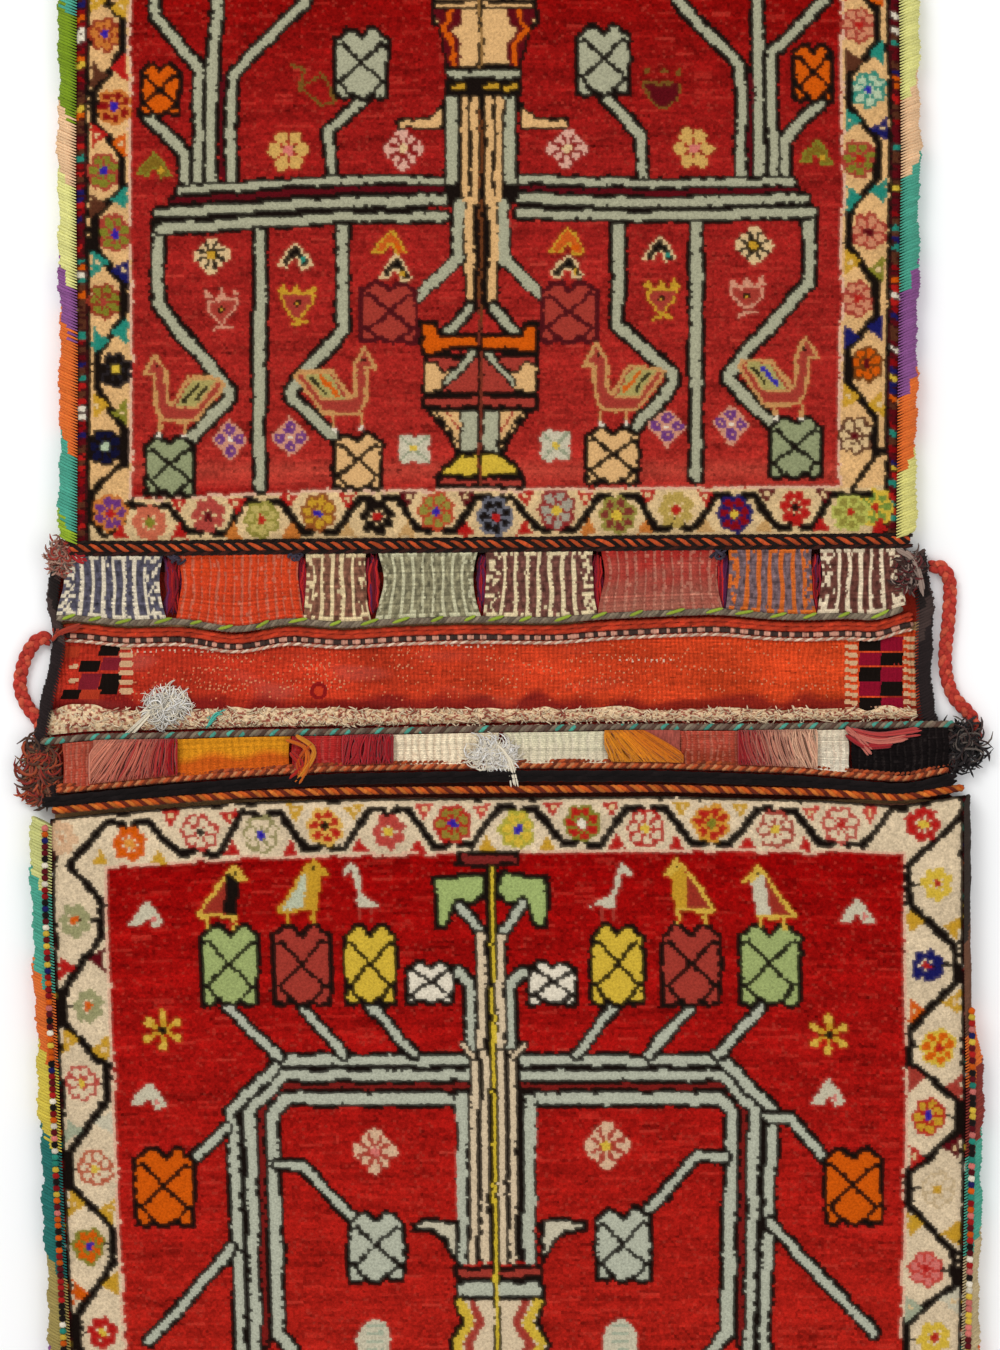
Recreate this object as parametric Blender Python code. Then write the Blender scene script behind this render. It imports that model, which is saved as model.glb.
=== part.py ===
"""Kilim saddle bag: two knotted-pile bags joined by a flat-woven bridge, lying flat on its back.

Metres, +Z up. X runs across the bag and Y along it, with the upper bag at +Y.
"""

import math

import bmesh
import bpy

# Clearance between pieces that touch on the real bag
SEAT_GAP = 0.0003

# Layers of cloth, from the floor up
BACK_THICKNESS = 0.003
BACK_RIB_PITCH = 0.016
BACK_RIB_HEIGHT = 0.0006
POCKET_HEIGHT = 0.008
FACE_THICKNESS = 0.008
FACE_ROUNDING = 0.002

# The two bags: overall widths at the mouth and at the bottom, and the length of a face
FACE_LENGTH = 0.604
UPPER_MOUTH_WIDTH = 0.577
UPPER_BOTTOM_WIDTH = 0.577
UPPER_CENTRE_X = -0.0123
UPPER_BOTTOM_SHIFT = 0.0
LOWER_MOUTH_WIDTH = 0.633
LOWER_BOTTOM_WIDTH = 0.611
LOWER_CENTRE_X = 0.0
LOWER_BOTTOM_SHIFT = 0.0055

# Overcast bindings of the sides and the seams of the bottoms
BINDING_WIDTH = 0.012
BINDING_LIFT = 0.0005
BINDING_STITCH = 0.020
BOTTOM_SEAM_WIDTH = 0.008
BOTTOM_STITCH = 0.030
STITCH_DEPTH = 0.22
STITCH_SLANT = 0.55

# The bridge and the rows between the two mouths, each as its width along Y
BRIDGE_WIDTH = 0.570
BRIDGE_CENTRE_X = -0.012
BRIDGE_CLOTH_UP = 0.020
BRIDGE_CLOTH_DOWN = 0.022
SIDE_BINDING_WIDTH = 0.008
SIDE_BINDING_HEIGHT = 0.009
TWINED_ROW_WIDTH = 0.0065
TWINED_ROW_HEIGHT = 0.0024
WELT_WIDTH = 0.0065
WELT_HEIGHT = 0.0027
UPPER_CORD_WIDTH = 0.0067
UPPER_TAB_LENGTH = 0.038
UPPER_ROPE_WIDTH = 0.0073
FRAYED_STRIP_LENGTH = 0.012
FRAYED_STRIP_THICKNESS = 0.0024
LOWER_CORD_WIDTH = 0.007
LOWER_TAB_LENGTH = 0.033
LOWER_TWINED_WIDTH = 0.0055
LOWER_ROPE_WIDTH = 0.006
ROPE_STITCH = 0.024
ROPE_SLANT = 0.7
ROPE_DEPTH = 0.18

# The rows of the upper mouth wander by these heights over these lengths
WANDER_HEIGHTS = (0.0022, 0.0010)
WANDER_LENGTHS = (0.330, 0.140)

# Closure tabs: thickness, ribs, waist, and the ends of each tab across the bag
TAB_THICKNESS = 0.0032
TAB_RIB_PITCH = 0.008
TAB_RIB_HEIGHT = 0.0008
TAB_WAIST = 0.0012
WRAP_THICKNESS = 0.0042
UPPER_TABS = [
    ("navy", -0.2970, -0.2290, (0.10, 0.11, 0.16)),
    ("orange", -0.2190, -0.1390, (0.62, 0.10, 0.05)),
    ("brown", -0.1350, -0.0920, (0.17, 0.10, 0.07)),
    ("sage", -0.0865, -0.0190, (0.33, 0.34, 0.26)),
    ("umber", -0.0150, 0.0575, (0.10, 0.05, 0.04)),
    ("rose", 0.0615, 0.1410, (0.48, 0.17, 0.15)),
    ("slate", 0.1465, 0.2040, (0.24, 0.18, 0.24)),
    ("walnut", 0.2080, 0.2640, (0.15, 0.09, 0.06)),
]
LOWER_TABS = [
    ("dusty_rose", -0.2960, -0.2750, (0.45, 0.16, 0.16)),
    ("gold", -0.2240, -0.1480, (0.72, 0.42, 0.12)),
    ("crimson", -0.1440, -0.1050, (0.55, 0.04, 0.05)),
    ("cream", -0.0790, -0.0060, (0.78, 0.68, 0.50)),
    ("mint", -0.0020, 0.0660, (0.68, 0.70, 0.55)),
    ("rose", 0.1200, 0.1580, (0.52, 0.20, 0.18)),
    ("ivory", 0.2130, 0.2270, (0.80, 0.70, 0.52)),
    ("black", 0.2310, 0.2680, (0.03, 0.03, 0.03)),
]
YARN_WRAPS = [
    ("pink", -0.2710, -0.2280, (0.66, 0.25, 0.24)),
    ("scarlet", -0.1010, -0.0830, (0.60, 0.05, 0.07)),
    ("amber", 0.0700, 0.1160, (0.78, 0.42, 0.10)),
    ("coral", 0.1620, 0.2090, (0.62, 0.16, 0.15)),
]

# Pattern on the pile: thin fields of coloured wool that stand a little above the red ground
PATTERN_THICKNESS = 0.0007
BORDER_MARGIN = 0.0087
BORDER_WIDTH = 0.030
MEANDER_WIDTH = 0.0047
MEANDER_INSET = 0.005
MEANDER_REACH = 0.020
MEANDER_PERIOD = 0.090
STEM_WIDTH = 0.0075
TRUNK_WIDTH = 0.030
VASE_SHOULDER = 0.30

# Half of each tree, as distances from its trunk and from the mouth edge; the other half mirrors it
UPPER_STEMS = [
    [(0.213, 0.223), (0.0, 0.229)],
    [(0.186, 0.223), (0.185, 0.316), (0.215, 0.350), (0.215, 0.402)],
    [(0.165, 0.223), (0.164, 0.311), (0.115, 0.361), (0.115, 0.402)],
    [(0.221, 0.285), (0.186, 0.257)],
    [(0.210, 0.223), (0.210, 0.159), (0.165, 0.104), (0.165, 0.095), (0.193, 0.067)],
    [(0.145, 0.223), (0.145, 0.044)],
    [(0.090, 0.225), (0.090, 0.142), (0.125, 0.104), (0.125, 0.095), (0.092, 0.067)],
    [(0.008, 0.198), (0.052, 0.159)],
    [(0.098, 0.225), (0.099, 0.275), (0.076, 0.296)],
]
UPPER_TRUNK = (0.044, 0.529)
UPPER_VASES = [
    (0.205, 0.060, 0.034, 0.039),
    (0.081, 0.060, 0.034, 0.037),
    (0.059, 0.154, 0.040, 0.041),
    (0.212, 0.301, 0.026, 0.032),
    (0.077, 0.319, 0.036, 0.046),
]
UPPER_CENTRE_VASE = (0.135, 0.075, 0.060)
LOWER_STEMS = [
    [(0.142, 0.182), (0.0, 0.181)],
    [(0.142, 0.174), (0.174, 0.203), (0.167, 0.395)],
    [(0.137, 0.182), (0.151, 0.203), (0.147, 0.351), (0.131, 0.369)],
    [(0.174, 0.213), (0.205, 0.238), (0.221, 0.253)],
    [(0.150, 0.238), (0.130, 0.238), (0.095, 0.275), (0.080, 0.293)],
    [(0.179, 0.112), (0.142, 0.172)],
    [(0.129, 0.112), (0.104, 0.182)],
    [(0.084, 0.105), (0.053, 0.182)],
]
LOWER_TRUNK = (0.050, 0.529)
LOWER_VASES = [
    (0.179, 0.105, 0.040, 0.053),
    (0.131, 0.105, 0.040, 0.053),
    (0.084, 0.105, 0.036, 0.053),
    (0.219, 0.258, 0.041, 0.052),
    (0.080, 0.293, 0.039, 0.045),
]
LOWER_CENTRE_VASE = (0.300, 0.080, 0.060)
TREE_OFFSET_X = -0.007

# Loose yarn: how far the two hanks beside the mouths reach from the middle, and their sizes
HANK_REACH = 0.320
HANK_WIDTH = 0.0145
HANK_LENGTH = 0.045
HANK_HEIGHT = 0.012

# Braided side cords
BRAID_RADIUS = 0.004
BRAID_POINT_STEP = 0.008
LEFT_BRAID = [
    (-0.3058, 0.024),
    (-0.3142, 0.0238),
    (-0.3225, 0.012),
    (-0.3265, -0.006),
    (-0.3220, -0.020),
    (-0.3130, -0.032),
    (-0.31275, -0.0429),
]
RIGHT_BRAID = [
    (0.2818, 0.072),
    (0.2902, 0.0718),
    (0.2955, 0.062),
    (0.2950, 0.040),
    (0.2925, 0.008),
    (0.2975, -0.013),
    (0.3100, -0.028),
    (0.31275, -0.0429),
]

CREAM = (0.72, 0.58, 0.38)
IVORY = (0.70, 0.64, 0.50)
BLACK = (0.02, 0.013, 0.01)
CELADON = (0.42, 0.43, 0.32)
UPPER_RED = (0.40, 0.012, 0.02)
LOWER_RED = (0.46, 0.012, 0.012)
BRIDGE_RED = (0.60, 0.055, 0.018)
BINDING_YARNS = [
    [("olive", (0.16, 0.20, 0.06)), ("violet", (0.14, 0.06, 0.16)), ("orange", (0.72, 0.20, 0.04))],
    [("yellow", (0.74, 0.62, 0.28)), ("teal", (0.08, 0.20, 0.18)), ("peach", (0.76, 0.36, 0.18))],
    [("gold", (0.45, 0.33, 0.08)), ("teal", (0.05, 0.17, 0.15)), ("lime", (0.60, 0.60, 0.22))],
    [("beige", (0.62, 0.50, 0.33)), ("sea_green", (0.09, 0.24, 0.20)), ("olive", (0.22, 0.24, 0.08))],
]

FACE_BASE = BACK_THICKNESS + POCKET_HEIGHT
FACE_TOP = FACE_BASE + FACE_THICKNESS
ROW_BASE = BACK_THICKNESS + SEAT_GAP
TAB_BASE = FACE_BASE


def clear_scene():
    """Remove every object that the file opened with."""
    for item in list(bpy.data.objects):
        bpy.data.objects.remove(item, do_unlink=True)


def wool(name, colour):
    """A matt woollen material."""
    made = bpy.data.materials.new(name)
    made.use_nodes = True
    shader = made.node_tree.nodes["Principled BSDF"]
    shader.inputs["Base Color"].default_value = (*colour, 1.0)
    shader.inputs["Roughness"].default_value = 0.9
    shader.inputs["Metallic"].default_value = 0.0
    return made


def add_piece(name, mesh_data, colour, smooth=True):
    """Turn a bmesh into a named object with its own wool."""
    bmesh.ops.recalc_face_normals(mesh_data, faces=mesh_data.faces)
    mesh = bpy.data.meshes.new(name)
    mesh_data.to_mesh(mesh)
    mesh_data.free()
    for face in mesh.polygons:
        face.use_smooth = smooth
    mesh.materials.append(wool(name + "_wool", colour))
    piece = bpy.data.objects.new(name, mesh)
    bpy.context.scene.collection.objects.link(piece)
    return piece


def add_prism(mesh_data, outline, low, high):
    """Extrude a flat outline from low to high."""
    base = [mesh_data.verts.new((x, y, low)) for x, y in outline]
    face = mesh_data.faces.new(base)
    raised = bmesh.ops.extrude_face_region(mesh_data, geom=[face])["geom"]
    verts = [item for item in raised if isinstance(item, bmesh.types.BMVert)]
    bmesh.ops.translate(mesh_data, verts=verts, vec=(0.0, 0.0, high - low))


def add_ring(mesh_data, outer, inner, low, high):
    """A closed band between two outlines that have as many points each."""
    loops = [
        [mesh_data.verts.new((x, y, level)) for x, y in outline]
        for outline, level in ((outer, low), (outer, high), (inner, high), (inner, low))
    ]
    count = len(outer)
    for index in range(len(loops)):
        here = loops[index]
        there = loops[(index + 1) % len(loops)]
        for i in range(count):
            j = (i + 1) % count
            mesh_data.faces.new((here[i], here[j], there[j], there[i]))


def offset_points(points, shift, closed=False):
    """The points moved sideways by shift, with mitred corners."""
    moved = []
    count = len(points)
    for i, (x, y) in enumerate(points):
        before = points[i - 1] if closed or i > 0 else None
        after = points[(i + 1) % count] if closed or i < count - 1 else None
        normals = []
        for start, end in ((before, (x, y)), ((x, y), after)):
            if start is None or end is None:
                continue
            dx, dy = end[0] - start[0], end[1] - start[1]
            length = math.hypot(dx, dy)
            normals.append((-dy / length, dx / length))
        nx = sum(normal[0] for normal in normals)
        ny = sum(normal[1] for normal in normals)
        scale = len(normals) / (nx * nx + ny * ny)
        moved.append((x + shift * nx * scale, y + shift * ny * scale))
    return moved


def stroke_outline(points, width):
    """The outline of a stroke of even width along an open line of points."""
    left = offset_points(points, width / 2)
    right = offset_points(points, -width / 2)
    return left + right[::-1]


def wander(x):
    """How far the rows of the upper mouth stray from a straight line at x."""
    return sum(
        height * math.sin(2 * math.pi * x / length)
        for height, length in zip(WANDER_HEIGHTS, WANDER_LENGTHS)
    )


def straight(x):
    """A row that does not stray."""
    return 0.0 * x


def ribbed_sheet(stations, base, thickness, rib_pitch, rib_height):
    """A closed sheet of cloth with ribs along Y. A station is (left, right, y as a function of x)."""
    mesh_data = bmesh.new()
    widest = max(right - left for left, right, _ in stations)
    ribs = max(1, round(widest / rib_pitch))
    columns = 2 * ribs + 1
    rows = []
    for left, right, y_of in stations:
        top, bottom = [], []
        for column in range(columns):
            x = left + (right - left) * column / (columns - 1)
            peak = column % 2 == 1
            high = base + thickness - (0.0 if peak else rib_height)
            top.append(mesh_data.verts.new((x, y_of(x), high)))
            bottom.append(mesh_data.verts.new((x, y_of(x), base)))
        rows.append(top + bottom[::-1])
    ring = len(rows[0])
    for here, there in zip(rows, rows[1:]):
        for i in range(ring):
            j = (i + 1) % ring
            mesh_data.faces.new((here[i], here[j], there[j], there[i]))
    for row in (rows[0], rows[-1]):
        for column in range(columns - 1):
            other = ring - 1 - column
            mesh_data.faces.new((row[column], row[column + 1], row[other - 1], row[other]))
    return mesh_data


def round_section(width, height, sides=6):
    """A flattened circle as (across, up, bulge) about its own middle."""
    return [
        (
            width / 2 * math.cos(2 * math.pi * (i + 0.5) / sides),
            height / 2 * math.sin(2 * math.pi * (i + 0.5) / sides),
            1.0,
        )
        for i in range(sides)
    ]


def binding_section(width, height):
    """Half of a rounded bar: flat on the cloth's side at across 0, bulging outwards."""
    return [
        (0.0, -height / 2, 0.0),
        (0.62 * width, -height / 2, 0.4),
        (width, -0.22 * height, 1.0),
        (width, 0.22 * height, 1.0),
        (0.62 * width, height / 2, 0.4),
        (0.0, height / 2, 0.0),
    ]


def stitched_row(start, end, section, middle, stitch, slant, depth, stray=straight, ends=1.0):
    """A row of slanted stitches from start to end, whose section narrows between the stitches.

    ends below 1 draws both ends of the row together, as on a hank of yarn.
    """
    mesh_data = bmesh.new()
    length = math.dist(start, end)
    along = ((end[0] - start[0]) / length, (end[1] - start[1]) / length)
    across = (-along[1], along[0])
    leans = [slant * point[0] for point in section]
    first = max(0.0, -min(leans))
    run = length - first - max(0.0, max(leans))
    steps = 2 * max(1, round(run / stitch))
    rings = []
    for step in range(steps + 1):
        share = step / steps
        valley = step % 2 == 0
        gather = ends + (1.0 - ends) * math.sqrt(max(0.0, math.sin(math.pi * share)))
        ring = []
        for side, up, bulge in section:
            keep = (1.0 - (depth * bulge if valley else 0.0)) * gather
            s = first + run * share + slant * side * keep
            x = start[0] + along[0] * s + across[0] * side * keep
            y = start[1] + along[1] * s + across[1] * side * keep
            ring.append(mesh_data.verts.new((x, y + stray(x), middle + up * keep)))
        rings.append(ring)
    count = len(section)
    for here, there in zip(rings, rings[1:]):
        for i in range(count):
            j = (i + 1) % count
            mesh_data.faces.new((here[i], here[j], there[j], there[i]))
    mesh_data.faces.new(rings[0])
    mesh_data.faces.new(rings[-1][::-1])
    return mesh_data


class Bag:
    """Where one bag's cloth lies. way is +1 for the upper bag and -1 for the lower one."""

    def __init__(self, name, way, centre, shift, mouth_width, bottom_width, mouth_y):
        self.name = name
        self.way = way
        self.centre = centre
        self.shift = shift
        self.mouth_width = mouth_width
        self.bottom_width = bottom_width
        self.mouth_y = mouth_y
        self.bottom_y = mouth_y + way * FACE_LENGTH

    def half_width(self, depth):
        """Half of the overall width, bindings included, at a distance in from the mouth."""
        share = depth / FACE_LENGTH
        return (self.mouth_width + (self.bottom_width - self.mouth_width) * share) / 2

    def cloth_half(self, depth):
        """Half of the face's own width, inside the bindings."""
        return self.half_width(depth) - BINDING_WIDTH - SEAT_GAP

    def edge(self, depth, side):
        """The x of the face's left (-1) or right (+1) edge at a distance in from the mouth."""
        return self.centre + self.shift * depth / FACE_LENGTH + side * self.cloth_half(depth)

    def y_at(self, depth):
        return self.mouth_y + self.way * depth

    def outline(self, inset):
        """The face's four corners, moved in by inset on every side."""
        corners = []
        for depth in (inset, FACE_LENGTH - inset):
            y = self.y_at(depth)
            corners.append([(self.edge(depth, -1) + inset, y), (self.edge(depth, 1) - inset, y)])
        return [corners[0][0], corners[0][1], corners[1][1], corners[1][0]]


def pile_face(bag, colour):
    """The knotted-pile panel, with its upper edges rounded over."""
    mesh_data = bmesh.new()
    add_prism(mesh_data, bag.outline(0.0), FACE_BASE, FACE_TOP)
    rim = [
        edge
        for edge in mesh_data.edges
        if all(vert.co.z > FACE_TOP - FACE_THICKNESS / 2 for vert in edge.verts)
    ]
    bmesh.ops.bevel(mesh_data, geom=rim, offset=FACE_ROUNDING, segments=2, profile=0.5, affect="EDGES")
    return add_piece(bag.name + "_pile_face", mesh_data, colour, smooth=False)


def border(bag, colour):
    """The pale border band around the field."""
    mesh_data = bmesh.new()
    low = FACE_TOP + SEAT_GAP
    outer = bag.outline(BORDER_MARGIN)
    inner = bag.outline(BORDER_MARGIN + BORDER_WIDTH)
    add_ring(mesh_data, outer, inner, low, low + PATTERN_THICKNESS)
    return add_piece(bag.name + "_border", mesh_data, colour, smooth=False)


def meander_line(bag):
    """The meander's middle line: blunt teeth that reach across the border, side by side."""
    corners = bag.outline(BORDER_MARGIN + MEANDER_INSET)
    points = []
    for index in range(4):
        start, end = corners[index], corners[(index + 1) % 4]
        length = math.dist(start, end)
        along = ((end[0] - start[0]) / length, (end[1] - start[1]) / length)
        middle = (bag.centre, (bag.mouth_y + bag.bottom_y) / 2)
        inward = (-along[1], along[0])
        towards = (middle[0] - start[0], middle[1] - start[1])
        if inward[0] * towards[0] + inward[1] * towards[1] < 0:
            inward = (-inward[0], -inward[1])
        free = length - 2 * MEANDER_PERIOD / 2
        teeth = max(1, round(free / MEANDER_PERIOD))
        tooth = free / teeth
        for count in range(teeth):
            for share, reach in ((0.0, 0.0), (0.24, 0.0), (0.5, MEANDER_REACH), (0.74, MEANDER_REACH)):
                s = MEANDER_PERIOD / 2 + tooth * (count + share)
                points.append(
                    (
                        start[0] + along[0] * s + inward[0] * reach,
                        start[1] + along[1] * s + inward[1] * reach,
                    )
                )
        s = MEANDER_PERIOD / 2 + free
        points.append((start[0] + along[0] * s, start[1] + along[1] * s))
    return points


def meander(bag):
    """The black meander that lies on the border."""
    mesh_data = bmesh.new()
    low = FACE_TOP + 2 * SEAT_GAP + PATTERN_THICKNESS
    line = meander_line(bag)
    left = offset_points(line, MEANDER_WIDTH / 2, closed=True)
    right = offset_points(line, -MEANDER_WIDTH / 2, closed=True)
    add_ring(mesh_data, left, right, low, low + PATTERN_THICKNESS)
    return add_piece(bag.name + "_meander", mesh_data, BLACK, smooth=False)


def vase_outline(u, v, width, height):
    """An eight-sided vase with a waisted foot, its mouth towards the bag's mouth."""
    half, foot = width / 2, width * VASE_SHOULDER
    return [
        (u - foot, v + height / 2),
        (u - half, v + height * 0.1),
        (u - half, v - height * 0.25),
        (u - foot, v - height / 2),
        (u + foot, v - height / 2),
        (u + half, v - height * 0.25),
        (u + half, v + height * 0.1),
        (u + foot, v + height / 2),
    ]


def tree(bag, stems, vases, trunk, centre_vase):
    """The tree of stems and vases, joined into one field of wool by a Boolean union."""
    low = FACE_TOP + SEAT_GAP
    high = low + PATTERN_THICKNESS
    axis = bag.centre + TREE_OFFSET_X

    def place(outline, side):
        return [(axis + bag.shift * v / FACE_LENGTH + side * u, bag.y_at(v)) for u, v in outline]

    trunk_outline = stroke_outline([(0.0, trunk[0]), (0.0, trunk[1])], TRUNK_WIDTH)
    base = bmesh.new()
    add_prism(base, place(trunk_outline, 1), low, high)
    piece = add_piece(bag.name + "_tree", base, CELADON, smooth=False)
    parts = [place(vase_outline(0.0, *centre_vase), 1)]
    for side in (-1, 1):
        parts += [place(stroke_outline(stem, STEM_WIDTH), side) for stem in stems]
        parts += [place(vase_outline(*vase), side) for vase in vases]
    for part in parts:
        operand_data = bmesh.new()
        add_prism(operand_data, part, low, high)
        bmesh.ops.recalc_face_normals(operand_data, faces=operand_data.faces)
        operand_mesh = bpy.data.meshes.new("limb")
        operand_data.to_mesh(operand_mesh)
        operand_data.free()
        operand = bpy.data.objects.new("limb", operand_mesh)
        bpy.context.scene.collection.objects.link(operand)
        union = piece.modifiers.new("union", "BOOLEAN")
        union.operation = "UNION"
        union.solver = "EXACT"
        union.object = operand
        graph = bpy.context.evaluated_depsgraph_get()
        joined = bpy.data.meshes.new_from_object(piece.evaluated_get(graph))
        piece.modifiers.clear()
        piece.data = joined
        bpy.data.objects.remove(operand, do_unlink=True)
    return piece


def side_bindings(bag, side, yarns):
    """The overcast edge of one side of a bag, a length of each yarn in turn."""
    height = FACE_TOP - 2 * BINDING_LIFT
    middle = FACE_TOP / 2
    lean = STITCH_SLANT * BINDING_WIDTH
    share = (FACE_LENGTH - lean) / len(yarns)
    for index, (yarn, colour) in enumerate(yarns):
        near, far = index * share, (index + 1) * share + lean - SEAT_GAP
        ends = [(bag.edge(depth, side) + side * SEAT_GAP, bag.y_at(depth)) for depth in (near, far)]
        # The section bulges to the left of the row's direction, so the row runs with the cloth on its right
        slant = -STITCH_SLANT
        if side * bag.way > 0:
            ends.reverse()
            slant = STITCH_SLANT
        section = binding_section(BINDING_WIDTH, height)
        row = stitched_row(*ends, section, middle, BINDING_STITCH, slant, STITCH_DEPTH)
        label = "right" if side > 0 else "left"
        add_piece(f"{bag.name}_{label}_binding_{index + 1}_{yarn}", row, colour)


def bottom_seam(bag, colour):
    """The overcast seam that closes the far end of a bag."""
    y = bag.bottom_y + bag.way * SEAT_GAP
    ends = [(bag.edge(FACE_LENGTH, side), y) for side in (-1, 1)]
    if bag.way < 0:
        ends.reverse()
    section = binding_section(BOTTOM_SEAM_WIDTH, FACE_TOP - 2 * BINDING_LIFT)
    row = stitched_row(*ends, section, FACE_TOP / 2, BOTTOM_STITCH, STITCH_SLANT, STITCH_DEPTH)
    add_piece(bag.name + "_bottom_seam", row, colour)


def cross_row(name, left, right, y, width, height, base, colour, stray=straight):
    """A rope or cord across the bag, lying on base."""
    section = round_section(width / math.cos(math.pi / 6), height)
    row = stitched_row(
        (left, y), (right, y), section, base + height / 2, ROPE_STITCH, ROPE_SLANT, ROPE_DEPTH, stray
    )
    add_piece(name, row, colour)


def tab(name, left, right, near_y, far_y, thickness, colour, stray):
    """A ribbed tab whose sides draw in a little, and whose far end follows the cord beyond it."""
    waist = TAB_WAIST
    stations = [
        (left, right, lambda x: near_y),
        (left + waist, right - waist, lambda x: (near_y + far_y + stray(x)) / 2),
        (left, right, lambda x: far_y + stray(x)),
    ]
    sheet = ribbed_sheet(stations, TAB_BASE, thickness, TAB_RIB_PITCH, TAB_RIB_HEIGHT)
    add_piece(name, sheet, colour, smooth=False)


def smooth_route(points, step):
    """Points at even steps along a Catmull-Rom curve through the route's own points."""
    ends = [points[0]] + points + [points[-1]]
    fine = []
    for i in range(1, len(ends) - 2):
        for k in range(24):
            t = k / 24
            fine.append(
                tuple(
                    0.5
                    * (
                        2 * ends[i][a]
                        + (ends[i + 1][a] - ends[i - 1][a]) * t
                        + (2 * ends[i - 1][a] - 5 * ends[i][a] + 4 * ends[i + 1][a] - ends[i + 2][a]) * t * t
                        + (3 * ends[i][a] - ends[i - 1][a] - 3 * ends[i + 1][a] + ends[i + 2][a]) * t**3
                    )
                    for a in range(2)
                )
            )
    fine.append(points[-1])
    total = sum(math.dist(a, b) for a, b in zip(fine, fine[1:]))
    count = max(2, round(total / step))
    route, walked, target = [fine[0]], 0.0, total / count
    for a, b in zip(fine, fine[1:]):
        walked += math.dist(a, b)
        if walked >= target - 1e-9 and len(route) < count:
            route.append(b)
            target += total / count
    route.append(fine[-1])
    return route


def braided_cord(name, route, colour):
    """A loose cord lying on the floor."""
    curve = bpy.data.curves.new(name, "CURVE")
    curve.dimensions = "3D"
    curve.bevel_depth = BRAID_RADIUS
    curve.bevel_resolution = 2
    curve.use_fill_caps = True
    points = smooth_route(route, BRAID_POINT_STEP)
    spline = curve.splines.new("POLY")
    spline.points.add(len(points) - 1)
    for point, (x, y) in zip(spline.points, points):
        point.co = (x, y, BRAID_RADIUS + SEAT_GAP, 1.0)
    curve.materials.append(wool(name + "_wool", colour))
    cord = bpy.data.objects.new(name, curve)
    bpy.context.scene.collection.objects.link(cord)


def hank(name, start, end, width, height, base, colour):
    """A short twist of loose yarn, drawn together at both ends."""
    section = round_section(width / math.cos(math.pi / 6), height)
    row = stitched_row(
        start, end, section, base + height / 2, HANK_LENGTH / 4, 0.0, ROPE_DEPTH / 2, ends=0.3
    )
    add_piece(name, row, colour)


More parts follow.
